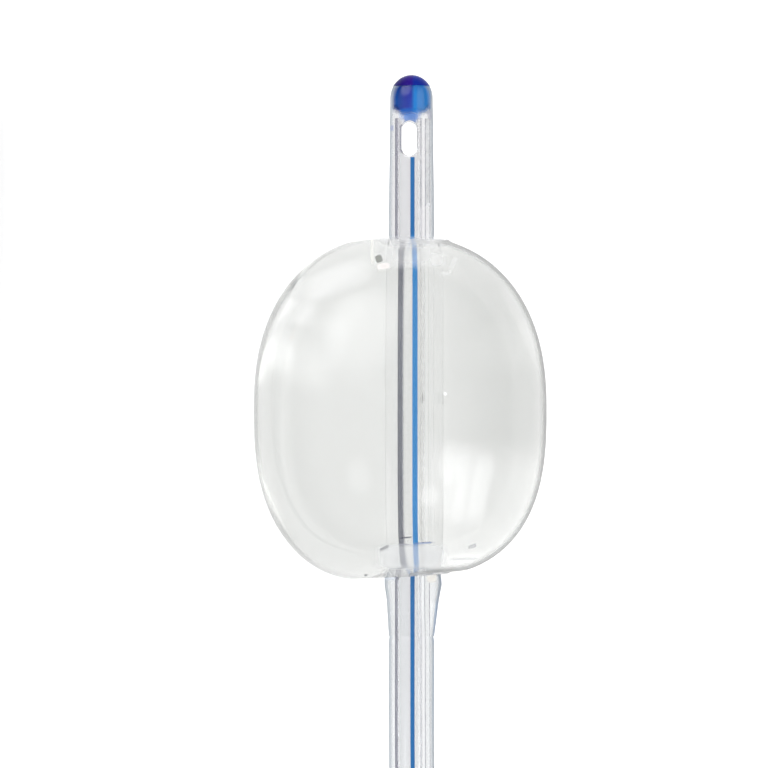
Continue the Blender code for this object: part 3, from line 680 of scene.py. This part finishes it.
def tubeStations():
    # distances from the tip, close together at the dome, the eye and the port, and along the bends
    domeEnd, straightEnd = tube["domeLength"], tube["straightEnd"]
    marks = [domeEnd - (domeEnd - tube["start"]) * math.cos(math.pi / 2 * i / 9) for i in range(10)]
    marks += [0.0036, 0.0046] + between(*tube["eyeRows"]) + [0.0120, 0.0140, tube["sealEnd"], 0.0182, 0.0196]
    marks += [*upperBond, 0.0300, 0.0380] + between(*tube["portRows"])
    marks += [0.0480, lowerBond[0], 0.0630, lowerBond[1], lowerBond[1] + 0.0006]
    rows = int((tubeLength - straightEnd) / tube["bendStep"])
    return marks + list(np.linspace(straightEnd, tubeLength, rows))


def paintFaces(obj, materials, choose):
    obj.data.materials.clear()
    for material in materials:
        obj.data.materials.append(material)
    for face in obj.data.polygons:
        face.material_index = choose(face)


def mark(obj, node, body="catheter"):
    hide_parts(node)
    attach(obj, body)
    return obj


def dress(obj, material, node, body="catheter"):
    paintFaces(obj, [material], lambda face: 0)
    return mark(obj, node, body)


def slotCutter(name, width, length, depth, place, turn):
    outline = []
    half = length / 2 - width / 2
    for centre, start in [(half, 0.0), (-half, math.pi)]:
        for i in range(17):
            angle = start + math.pi * i / 16
            outline.append((width / 2 * math.cos(angle), centre + width / 2 * math.sin(angle)))
    cutter = flatCurve(name, outline)
    cutter.data.fill_mode = "BOTH"
    cutter.data.extrude = depth / 2
    cutter.location = place
    cutter.rotation_euler = turn
    pickOnly(cutter)
    bpy.ops.object.convert(target="MESH")
    bpy.ops.object.transform_apply(location=True, rotation=True, scale=True)
    return closeAndSmooth(cutter)


def swellAt(distance):
    # a little slimmer at the tip, a little wider on both sides of the balloon
    d, more = distance, tube["swell"]
    wide = smoothStep(d, 0.0080, 0.0170) - smoothStep(d, 0.0196, 0.0202)
    wide += smoothStep(d, balloon["taperEnd"], balloon["taperEnd"] + 0.0006) - smoothStep(d, 0.1000, 0.1400)
    return 1 + more * wide - 0.02 * (1 - smoothStep(d, tube["domeLength"], 0.0060))


def makeTube():
    stations = tubeStations()
    scales = [domeRadius(d) / tube["radius"] * swellAt(d) for d in stations]
    outline = ring(tube["radius"], 0.0, tube["sides"])
    shell = sweepAlong("clear_tube", alongLine(line, stations), outline, scales)

    def zone(face):
        # bonded inside the funnel and under the balloon's cuffs, wet between them
        x, y = face.center[:2]
        s = tipY - y
        if x < tipX - 0.03:
            return 1 if y > funnelNose else 0
        if upperBond[0] < s < upperBond[1] or lowerBond[0] < s < lowerBond[1]:
            return 1
        return 2 if upperBond[1] < s < lowerBond[0] else 0

    def inBalloon(face):
        return face.center.x > 0 and upperBond[0] < tipY - face.center.y < lowerBond[0]

    finishes = [outside, bonded, inWater, lumenWall, lumenInBalloon, sealedLumen, wetLumen]
    paintFaces(shell, finishes, zone)

    inner = [tube["lumenStart"]] + [d for d in stations if d > tube["lumenStart"] + 0.0001]
    points = alongLine(line, inner)
    points[-1] += (points[-1] - points[-2]) * 0.4
    for name, radius, offset, sides, first in [
        ("drainLumen", tube["drainRadius"], tube["drainOffset"], tube["drainSides"], 3),
        ("inflationLumen", tube["inflationRadius"], tube["inflationOffset"], tube["inflationSides"], 5),
    ]:
        lumen = sweepAlong(name, points, ring(radius, -offset, sides))
        paintFaces(lumen, finishes, lambda face: first + (1 if inBalloon(face) else 0))
        cutAway(shell, lumen)
    eyeCentre = (tipX + tube["eyeOffset"], tipY - tube["eyeStart"] - tube["eyeLength"] / 2, axisZ)
    portCentre = (tipX + tube["inflationOffset"] + tube["radius"] / 2, tipY - tube["portAt"], axisZ)
    cutters = [
        slotCutter("eye", tube["eyeWidth"], tube["eyeLength"], tube["radius"] * 3, eyeCentre, (0, 0, 0)),
        slotCutter("port", tube["portWidth"], tube["portLength"], tube["radius"], portCentre,
                   (0, math.pi / 2, 0)),
    ]
    for cutter, wall in zip(cutters, (cutWall, inWater)):
        paintFaces(cutter, [wall], lambda face: 0)
        cutAway(shell, cutter)
    radius, end = tube["plugBore"], tube["plugBoreEnd"]
    bore = spinProfile("bore", [(0, end), (radius, end), (radius, 0), (0, 0)], 48, tipX, axisZ, tipY, -1)
    paintFaces(bore, [outside, bonded], lambda face: 1)
    cutAway(shell, bore)
    closeAndSmooth(shell)
    return mark(shell, "shaft")


def makeStripe():
    start = tube["eyeStart"] + tube["eyeLength"] + 0.00015
    stations = [start] + [d for d in tubeStations() if d > start + 0.0002]
    stations[-1] -= 0.00005
    aside, half, top = tube["stripeAside"], tube["stripeHalf"], tube["radius"] * tube["stripeAt"]
    low, edge = top - tube["stripeDepth"], top - tube["stripeCrown"]
    outline = [(-half, low), (half, low), (half, edge), (0.0, top), (-half, edge)]
    stripe = sweepAlong("blue_stripe", alongLine(line, stations), [(x + aside, y) for x, y in outline])
    return dress(stripe, stripeBlue, "radiopaque_stripe")


def makeSeal(name, node, first, last):
    points = alongLine(line, np.linspace(first, last, max(3, int((last - first) / 0.0012))))
    outline = ring(tube["inflationRadius"] - 0.00002, -tube["inflationOffset"], tube["inflationSides"])
    return dress(sweepAlong(name, points, outline), sealCloud, node)


def makeTip():
    edge = tube["start"] - 0.00002
    radius, end, corner = tube["plugBore"] - bondGap, tube["plugEnd"], tube["plugCorner"]
    dome = []
    for i in range(19):
        d = edge * (1 - math.cos(math.pi / 2 * i / 18))
        dome.append((domeRadius(d), d))
    core = [(radius, edge)]
    core += [(radius - corner * (1 - math.cos(a)), end - corner + corner * math.sin(a))
             for a in np.linspace(0, math.pi / 2, 9)]
    tip = spinProfile("blue_tip", dome + core + [(0.0, end)], 72, tipX, axisZ, tipY, -1)
    paintFaces(tip, [tipBlue, plugBlue], lambda face: 0 if tipY - face.center.y < edge - 0.00001 else 1)
    return mark(tip, "tip_plug")


# Balloon

def bellyCurve(reach, shape, rim):
    curve = []
    for i in range(401):
        angle = math.pi / 2 * (1 - i / 400)
        r = balloon["radius"] * math.cos(angle) ** (2 / shape)
        if r > rim:
            curve.append((r, balloon["centre"] + reach * math.sin(angle) ** (2 / shape)))
    curve = np.array(curve)
    run = np.linalg.norm(np.diff(curve, axis=0), axis=1).sum()
    return [tuple(p) for p in alongLine(curve, np.linspace(0.0, run, balloon["rows"]))]


def foldPath(rows, cuff, rim, cuffEdge, bellyEdge):
    return [(cuff + out * (rim - cuff), cuffEdge + way * (bellyEdge - cuffEdge)) for out, way in rows]


def rounded(path, passes=2):
    # corner cutting, which keeps both ends
    for _ in range(passes):
        finer = [path[0]]
        for a, b in zip(path[:-1], path[1:]):
            finer.append((a[0] * 0.75 + b[0] * 0.25, a[1] * 0.75 + b[1] * 0.25))
            finer.append((a[0] * 0.25 + b[0] * 0.75, a[1] * 0.25 + b[1] * 0.75))
        path = finer + [path[-1]]
    return path


def membranePath(inset=0.0):
    # half section of the wall from the upper fold over the belly to the lower fold, moved in by the inset
    upperRim, lowerRim = balloon["upperRim"], balloon["lowerRim"]
    upEnd, upWall = balloon["upperCuff"][1:]
    lowStart, lowWall = balloon["lowerCuff"][::2]
    path = foldPath(balloon["upperFold"], cuffBore + upWall, upperRim, upEnd, bellyTop)
    path += bellyCurve(-balloon["reachUp"], balloon["shapeUp"], upperRim)
    path += bellyCurve(balloon["reachDown"], balloon["shapeDown"], lowerRim)[::-1][1:]
    path += foldPath(balloon["lowerFold"], cuffBore + lowWall, lowerRim, lowStart, bellyEnd)[::-1]
    path = rounded(path)
    moved = []
    for i, (r, z) in enumerate(path):
        a, b = path[max(i - 1, 0)], path[min(i + 1, len(path) - 1)]
        run = math.hypot(b[0] - a[0], b[1] - a[1])
        moved.append((r - inset * (b[1] - a[1]) / run, z + inset * (b[0] - a[0]) / run))
    return moved


def leanBelly(obj):
    # the full balloon hangs to one side of the tube, where its rim is lower
    # the lower cuff bulges to the other side
    rim = balloon["upperRim"]
    for vertex in obj.data.vertices:
        x, y, z = vertex.co.x - tipX, tipY - vertex.co.y, vertex.co.z - axisZ
        far = math.hypot(x, z)
        share = smoothStep(far, rim * 0.75, rim * 1.35)
        below = min(max((y - balloon["centre"]) / balloon["reachDown"], 0.0), 1.0)
        lift = balloon["tilt"] * x * share * below**6 * (1 - smoothStep(x, *balloon["tiltFade"]))
        share *= 1 - balloon["leanLoss"] * (z / balloon["radius"]) ** 2
        if y > bellyEnd - 0.0003 and x > 0 and cuffBore + 0.00002 < far < 0.0042:
            x += balloon["lowerCuffBulge"] * x / far * (1 - smoothStep(y, taperStart, balloon["taperEnd"]))
        vertex.co = (tipX + x + balloon["offset"] * share, tipY - y + lift, vertex.co.z)


def makeBalloon():
    cuff, taperEnd = cuffBore, balloon["taperEnd"]
    (upStart, upEnd, upWall), (lowStart, lowEnd, lowWall) = balloon["upperCuff"], balloon["lowerCuff"]
    outer = [(cuff, upStart), (cuff + upWall, upStart), (cuff + upWall, upEnd - 0.0005)] + membranePath()
    outer += [(cuff + lowWall, lowStart + 0.0005), (cuff + lowWall, taperStart),
              (cuff + lowWall * 0.55, lowEnd), (cuff + lowWall * 0.12, taperEnd), (cuff, taperEnd)]
    lower = [(cuff, taperEnd), (cuff, lowEnd), (cuff, lowerBond[0])]
    inner = [(cuff, lowerBond[0])] + membranePath(balloon["wall"])[::-1] + [(cuff, upperBond[1])]
    upper = [(cuff, upperBond[1]), (cuff, upEnd), (cuff, upStart)]
    shells = []

    def faceOf(face, index):
        # the cuffs' outside is like the tube's, and the two folds are cloudy
        x, y, z = face.center
        s, r = tipY - y, math.hypot(x - tipX, z - axisZ)
        if index == 0 and s > taperEnd - 0.00001:
            return 1
        if index == 0 and (s > taperStart or s > lowStart and r < cuff + lowWall + 0.0001):
            return 4
        if index in (0, 2) and r < balloon["cloudyWithin"] and not upperBond[1] < s < lowerBond[0]:
            return 3
        return [0, 1, 2, 1][index]

    finishes = [sleeveOutside, bonded, sleeveInside, foldCloud, outside]
    chains = [("balloon_sleeve", outer), ("lowerBond", lower), ("innerWall", inner), ("upperBond", upper)]
    for index, (name, chain) in enumerate(chains):
        shell = spinProfile(name, chain, balloon["steps"], tipX, axisZ, tipY, -1, closed=False)
        paintFaces(shell, finishes, lambda face: faceOf(face, index))
        shells.append(shell)
    sleeve = closeAndSmooth(joinPieces(shells[0], shells[1:]), 50)
    leanBelly(sleeve)
    chain = membranePath(balloon["wall"] + balloon["waterGap"])
    chain = [(cuff, upEnd + 0.0005)] + chain + [(cuff, lowStart - 0.0005)]
    water = spinProfile("balloon_water", chain, balloon["steps"], tipX, axisZ, tipY, -1)
    leanBelly(water)
    return mark(sleeve, "balloon"), dress(water, waterClear, "water_fill")


# Funnel and valve

funnel = {
    "length": 0.065,
    "nose": 0.0036,
    "neck": 0.0046,
    "neckAt": 0.010,
    "sleeve": 0.0051,
    "body": 0.0063,
    "rim": 0.0070,
    "rimLength": 0.0045,
    "chamfer": 0.0005,
    "throat": 0.0019,
    "throatStraight": 0.0018,
    "throatLength": 0.006,
    "boreStart": 0.0030,
    "boreMouth": 0.00475,
    "ridges": 4,
    "pitch": 0.0032,
    "ridgeHeight": 0.00045,
    "armRadius": 0.0041,
    "armChannel": 0.0009,
    "armOffset": 0.0145,
    "armStart": 0.010,
    "armSlantEnd": 0.034,
    "armEnd": 0.050,
    "armSweep": 1.35,
    "web": 0.0024,
    "webEnd": 0.037,
    "steps": 96,
}

valve = {
    "barrel": 0.0031,
    "barrelLength": 0.007,
    "collar": 0.0046,
    "collarLength": 0.0016,
    "chamber": 0.0023,
    "ledge": 0.0010,
    "ledgeHole": 0.0011,
    "chamfer": 0.0003,
    "luerLength": 0.0094,
    "luer": 0.0033,
    "luerCollarLength": 0.0018,
    "luerMouth": 0.002135,
    "taper": 0.03,
    "seat": 0.0016,
    "seatThickness": 0.0012,
    "lug": 0.0039,
    "lugLength": 0.0012,
    "lugWidth": 0.0030,
    "stem": 0.0012,
    "stemRecess": 0.0016,
    "flange": 0.0019,
    "flangeThickness": 0.0006,
    "tail": 0.0007,
    "tailLength": 0.0054,
    "seal": 0.0006,
    "gap": 0.0001,
    "wire": 0.00016,
    "spring": 0.0014,
    "turns": 5,
    "travel": 0.002,
}
funnelX = tipX + routeBack[-1][0]


def roundedCorner(corner, radius, first, last):
    # an arc of five points about a corner's centre, between two angles in degrees
    return [(corner[0] + radius * math.cos(math.radians(a)), corner[1] + radius * math.sin(math.radians(a)))
            for a in np.linspace(first, last, 5)]


def funnelProfile():
    f = funnel
    ridgeStart = f["length"] - f["rimLength"] - f["ridges"] * f["pitch"]
    cut = f["chamfer"]
    profile = [(0.0, 0.0)] + roundedCorner((f["nose"] - cut, cut), cut, -90, 0)
    profile += [(f["neck"], f["neckAt"]), (f["sleeve"], tube["inFunnel"]), (f["body"], ridgeStart)]
    for i in range(f["ridges"]):
        for share in np.linspace(0.2, 0.85, 11):
            rise = math.sin(math.pi * (share - 0.2) / 0.65) ** 0.7 if 0.2 < share < 0.85 else 0.0
            profile.append((f["body"] + f["ridgeHeight"] * rise, ridgeStart + f["pitch"] * (i + share)))
    rim, end = f["length"] - f["rimLength"], f["length"]
    profile += [(f["body"], rim)] + roundedCorner((f["rim"] - cut, rim + cut), cut, -60, 0)
    return profile + roundedCorner((f["rim"] - cut, end - cut), cut, 0, 90) + [(0.0, end)]


def armLine(first, past):
    f = funnel
    points = []
    for share in np.linspace(first, 1.0, 30):
        side = f["armOffset"] * (f["armSweep"] * share - (f["armSweep"] - 1) * share**4)
        points.append((side, f["armStart"] + (f["armSlantEnd"] - f["armStart"]) * share))
    for share in (0.4, 0.8, 1.0):
        points.append((f["armOffset"], f["armSlantEnd"] + (f["armEnd"] + past - f["armSlantEnd"]) * share))
    return [(funnelX - side, funnelNose + d, funnelZ) for side, d in points]


def webPlate():
    f = funnel
    edge = [(1.00, f["webEnd"]), (0.80, f["webEnd"] - 0.0016), (0.62, f["webEnd"] - 0.0026),
            (0.45, f["webEnd"] - 0.0022), (0.30, f["webEnd"]), (0.0, f["webEnd"])]
    foot = [(0.0, 0.010), (0.45, 0.019), (0.9, 0.029)]
    plate = flatCurve("web", [(-f["armOffset"] * share, d) for share, d in foot + edge])
    plate.data.fill_mode = "BOTH"
    plate.data.extrude = f["web"] / 2
    plate.location = (funnelX, funnelNose, funnelZ)
    pickOnly(plate)
    bpy.ops.object.convert(target="MESH")
    bpy.ops.object.transform_apply(location=True, rotation=True, scale=True)
    return closeAndSmooth(plate)


def makeFunnel():
    f = funnel
    body = spinProfile("drain_funnel", funnelProfile(), f["steps"], funnelX, funnelZ, funnelNose, 1)
    cutAway(body, webPlate(), "UNION")
    cutAway(body, sweepAlong("arm", armLine(0.0, 0.0), ring(f["armRadius"], 0.0, 48)), "UNION")
    end = tube["inFunnel"] + bondGap
    hole = tube["radius"] + bondGap
    past = 0.001
    throat, mouth, length = f["throat"], f["boreMouth"], f["length"]
    bore = [(0.0, -past), (hole, -past), (hole, end), (throat, end), (throat, end + f["throatStraight"]),
            (f["boreStart"], end + f["throatLength"]), (mouth, length - 0.0004), (mouth + 0.0003, length),
            (mouth + 0.0003, length + past), (0.0, length + past)]
    cutAway(body, spinProfile("bore", bore, f["steps"], funnelX, funnelZ, funnelNose, 1))
    cutAway(body, sweepAlong("channel", armLine(0.1, -0.0042), ring(f["armChannel"], 0.0, 20)))
    wide, deep = valve["barrel"] + bondGap, valve["barrelLength"] + 0.0002
    pocket = [(0.0, past), (wide, past), (wide, -deep), (0.0, -deep)]
    cutAway(body, spinProfile("pocket", pocket, 64, valveX, valveZ, funnelNose + f["armEnd"], 1))
    return dress(closeAndSmooth(body), moulded, "y_funnel")


def makeLugs(top):
    v = valve
    profile = [(v["luer"] - 0.0002, top - v["lugLength"] - 0.0005), (v["lug"] - 0.0001, top - v["lugLength"]),
               (v["lug"], top - v["lugLength"] + 0.0001), (v["lug"], top - 0.0001), (v["lug"] - 0.0001, top),
               (v["luer"] - 0.0002, top)]
    lugs = spinProfile("lugs", profile, 64, valveX, valveZ, funnelNose + funnel["armEnd"], 1)
    bpy.ops.object.select_all(action="DESELECT")
    bpy.ops.mesh.primitive_cube_add(size=1.0, location=(valveX, funnelNose + funnel["armEnd"] + top, valveZ))
    band = bpy.context.object
    band.scale = (v["lug"] * 3, v["lugLength"] * 4, v["lugWidth"])
    pickOnly(band)
    bpy.ops.object.transform_apply(location=True, rotation=True, scale=True)
    cutAway(lugs, band, "INTERSECT")
    return lugs


def makeValve():
    v = valve
    y0 = funnelNose + funnel["armEnd"]

    def turned(name, profile, steps):
        return spinProfile(name, profile, steps, valveX, valveZ, y0, 1)

    collar, cut = v["collarLength"], v["chamfer"]
    base = [(v["barrel"], -v["barrelLength"]), (v["barrel"], bondGap)]
    base += roundedCorner((v["collar"] - cut, bondGap + cut), cut, -90, 0)
    base += [(v["collar"], collar), (v["chamber"], collar), (v["chamber"], -v["barrelLength"] + v["ledge"]),
             (v["ledgeHole"], -v["barrelLength"] + v["ledge"]), (v["ledgeHole"], -v["barrelLength"])]
    low = collar + bondGap
    top = low + v["luerLength"]
    inner = v["luerMouth"] - v["taper"] * (v["luerLength"] - v["seatThickness"])
    neck, mouth, floor = v["luer"], v["luerMouth"], low + v["seatThickness"]
    step = low + v["luerCollarLength"]
    cap = [(v["seat"], low), (v["collar"], low)] + roundedCorner((v["collar"] - cut, step - cut), cut, 0, 90)
    cap += [(neck + 0.0002, step), (neck, step + 0.0002), (neck, top - 0.0001), (neck - 0.0001, top),
            (mouth + 0.0001, top), (mouth, top - 0.0001), (inner, floor), (v["seat"], floor)]
    sealTop = low - v["gap"]
    flangeTop = sealTop - v["seal"] - bondGap
    flangeLow = flangeTop - v["flangeThickness"]
    rodTop = top - v["stemRecess"]
    rod = [(0.0, rodTop)] + roundedCorner((v["stem"] - 0.0002, rodTop - 0.0002), 0.0002, 90, 0)
    tailEnd = flangeLow - v["tailLength"]
    rod += [(v["stem"], flangeTop), (v["flange"], flangeTop), (v["flange"], flangeLow),
            (v["tail"], flangeLow), (v["tail"], tailEnd), (0.0, tailEnd)]
    hole, sealLow = v["stem"] + bondGap, sealTop - v["seal"]
    washer = [(v["flange"], sealTop), (v["flange"], sealLow), (hole, sealLow), (hole, sealTop)]
    luer = turned("luer_port", cap, 72)
    cutAway(luer, makeLugs(top), "UNION")
    first = -v["barrelLength"] + v["ledge"] + v["wire"] + v["gap"]
    last = flangeLow - v["wire"] - v["gap"]
    coil = []
    for i in range(v["turns"] * 32 + 1):
        angle = 2 * math.pi * i / 32
        share = i / (v["turns"] * 32)
        coil.append((valveX + v["spring"] * math.cos(angle), y0 + first + (last - first) * share,
                     valveZ + v["spring"] * math.sin(angle)))
    spring = sweepAlong("valve_coil", coil, ring(v["wire"], 0.0, 12))
    dress(spring, springSteel, "valve_spring")
    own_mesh(spring)
    return [
        dress(turned("valve_body", base, 72), valveOrange, "valve_base"),
        dress(closeAndSmooth(luer), valveOrange, "valve_luer"),
        dress(turned("valve_plunger", rod, 48), valveWhite, "valve_stem", "stem"),
        dress(turned("seal_ring", washer, 48), valveRubber, "valve_seal", "stem"),
        spring,
    ]


# Stage

stage = {
    "floorColor": (0.80, 0.80, 0.80),
    "floorLift": 0.35,
    "floorLow": (-0.11, -0.20),
    "floorHigh": (0.20, 0.20),
    "leftHorizon": (0.02, 0.02, 0.04),
    "rightHorizon": (0.50, 0.50, 0.50),
    "overhead": (0.80, 0.80, 0.80),
    "brightFrom": 0.45,
    "belowHorizon": (1.00, 1.00, 1.00),
    "floorTo": -0.20,
}

# Soft lights of the room: tilt from overhead, compass turn from +X, inner and outer half angle, strength
softLights = [
    (52.0, 130.0, 12.0, 34.0, 2.6),
    (41.0, -25.0, 1.0, 12.0, 2.5),
    (41.0, -59.0, 1.0, 10.0, 2.6),
    (42.0, -146.0, 2.0, 12.0, 1.6),
]


def makeRoom():
    world = bpy.data.worlds.new("softRoom")
    scene.world = world
    world.use_nodes = True
    tree = world.node_tree
    where = tree.nodes.new("ShaderNodeTexCoord").outputs["Generated"]
    parts = tree.nodes.new("ShaderNodeSeparateXYZ")
    tree.links.new(where, parts.inputs["Vector"])
    side = smoothRange(tree, parts.outputs["X"], -0.6, 0.8)
    horizon = blendColors(tree, side, stage["leftHorizon"], stage["rightHorizon"])
    height = parts.outputs["Z"]
    total = blendColors(tree, smoothRange(tree, height, 0.0, stage["brightFrom"]), horizon, stage["overhead"])
    # below the horizon it goes over to the floor's tone, so that the balloon doesn't mirror the floor's edge
    total = blendColors(tree, smoothRange(tree, height, 0.0, stage["floorTo"]), total, stage["belowHorizon"])
    for tilt, turn, inner, outer, strength in softLights:
        a, b = math.radians(tilt), math.radians(turn)
        aim = (math.sin(a) * math.cos(b), math.sin(a) * math.sin(b), math.cos(a))
        low, high = math.cos(math.radians(outer)), math.cos(math.radians(inner))
        shine = smoothRange(tree, vectorStep(tree, "DOT_PRODUCT", where, aim), low, high, 0.0, strength)
        total = vectorStep(tree, "ADD", total, shine)
    lit = tree.nodes["Background"]
    tree.links.new(total, lit.inputs["Color"])
    white = tree.nodes.new("ShaderNodeBackground")
    white.inputs["Color"].default_value = (1.0, 1.0, 1.0, 1.0)
    path = tree.nodes.new("ShaderNodeLightPath")
    seen = mixShaders(tree, path.outputs["Is Camera Ray"], lit.outputs[0], white.outputs[0])
    tree.links.new(seen, tree.nodes["World Output"].inputs["Surface"])


def makeFloor():
    bpy.ops.object.select_all(action="DESELECT")
    (lowX, lowY), (highX, highY) = stage["floorLow"], stage["floorHigh"]
    bpy.ops.mesh.primitive_plane_add(size=1.0, location=((lowX + highX) / 2, (lowY + highY) / 2, -0.0002))
    floor = bpy.context.object
    floor.name = "floor"
    floor.scale = (highX - lowX, highY - lowY, 1.0)
    material, tree = nodeTree("floorWhite")
    path = tree.nodes.new("ShaderNodeLightPath").outputs
    lit = diffuseOf(tree, stage["floorColor"])
    white = add(tree, "ShaderNodeEmission", Color=(1.0, 1.0, 1.0, 1.0), Strength=stage["floorLift"])
    lifted = tree.nodes.new("ShaderNodeAddShader")
    tree.links.new(lit, lifted.inputs[0])
    tree.links.new(white.outputs[0], lifted.inputs[1])
    seen = compute(tree, "MAXIMUM", path["Is Camera Ray"], path["Is Glossy Ray"])
    seen = compute(tree, "MAXIMUM", seen, path["Is Transmission Ray"])
    surfaceOf(tree, mixShaders(tree, seen, lit, lifted.outputs[0]))
    floor.data.materials.append(material)


def makeCamera():
    centreX = tipX + (photo["side"] / 2 - photo["tipPixel"][0]) / photo["pixelsPerMetre"]
    centreY = tipY - (photo["side"] / 2 - photo["tipPixel"][1]) / photo["pixelsPerMetre"]
    data = bpy.data.cameras.new("camera")
    data.sensor_width = photo["sensor"]
    distance = photo["cameraHeight"] - axisZ
    data.lens = photo["sensor"] * distance / (photo["side"] / photo["pixelsPerMetre"])
    data.clip_start, data.clip_end = 0.01, 20.0
    camera = bpy.data.objects.new("camera", data)
    scene.collection.objects.link(camera)
    camera.location = (centreX, centreY, photo["cameraHeight"])
    scene.camera = camera


makeCamera()
makeFloor()
makeRoom()
shaft = makeTube()
print("tube made")
stripe = makeStripe()
tip = makeTip()
distalSeal = makeSeal("distal_seal", "distal_lumen_seal", tube["sealStart"], tube["sealEnd"])
proximalSeal = makeSeal("proximal_seal", "proximal_lumen_seal", tubeLength - tube["proximalSeal"],
                        tubeLength - 0.00005)
sleeve, water = makeBalloon()
print("balloon made")
drainFunnel = makeFunnel()
valvePieces = makeValve()
print("funnel and valve made")
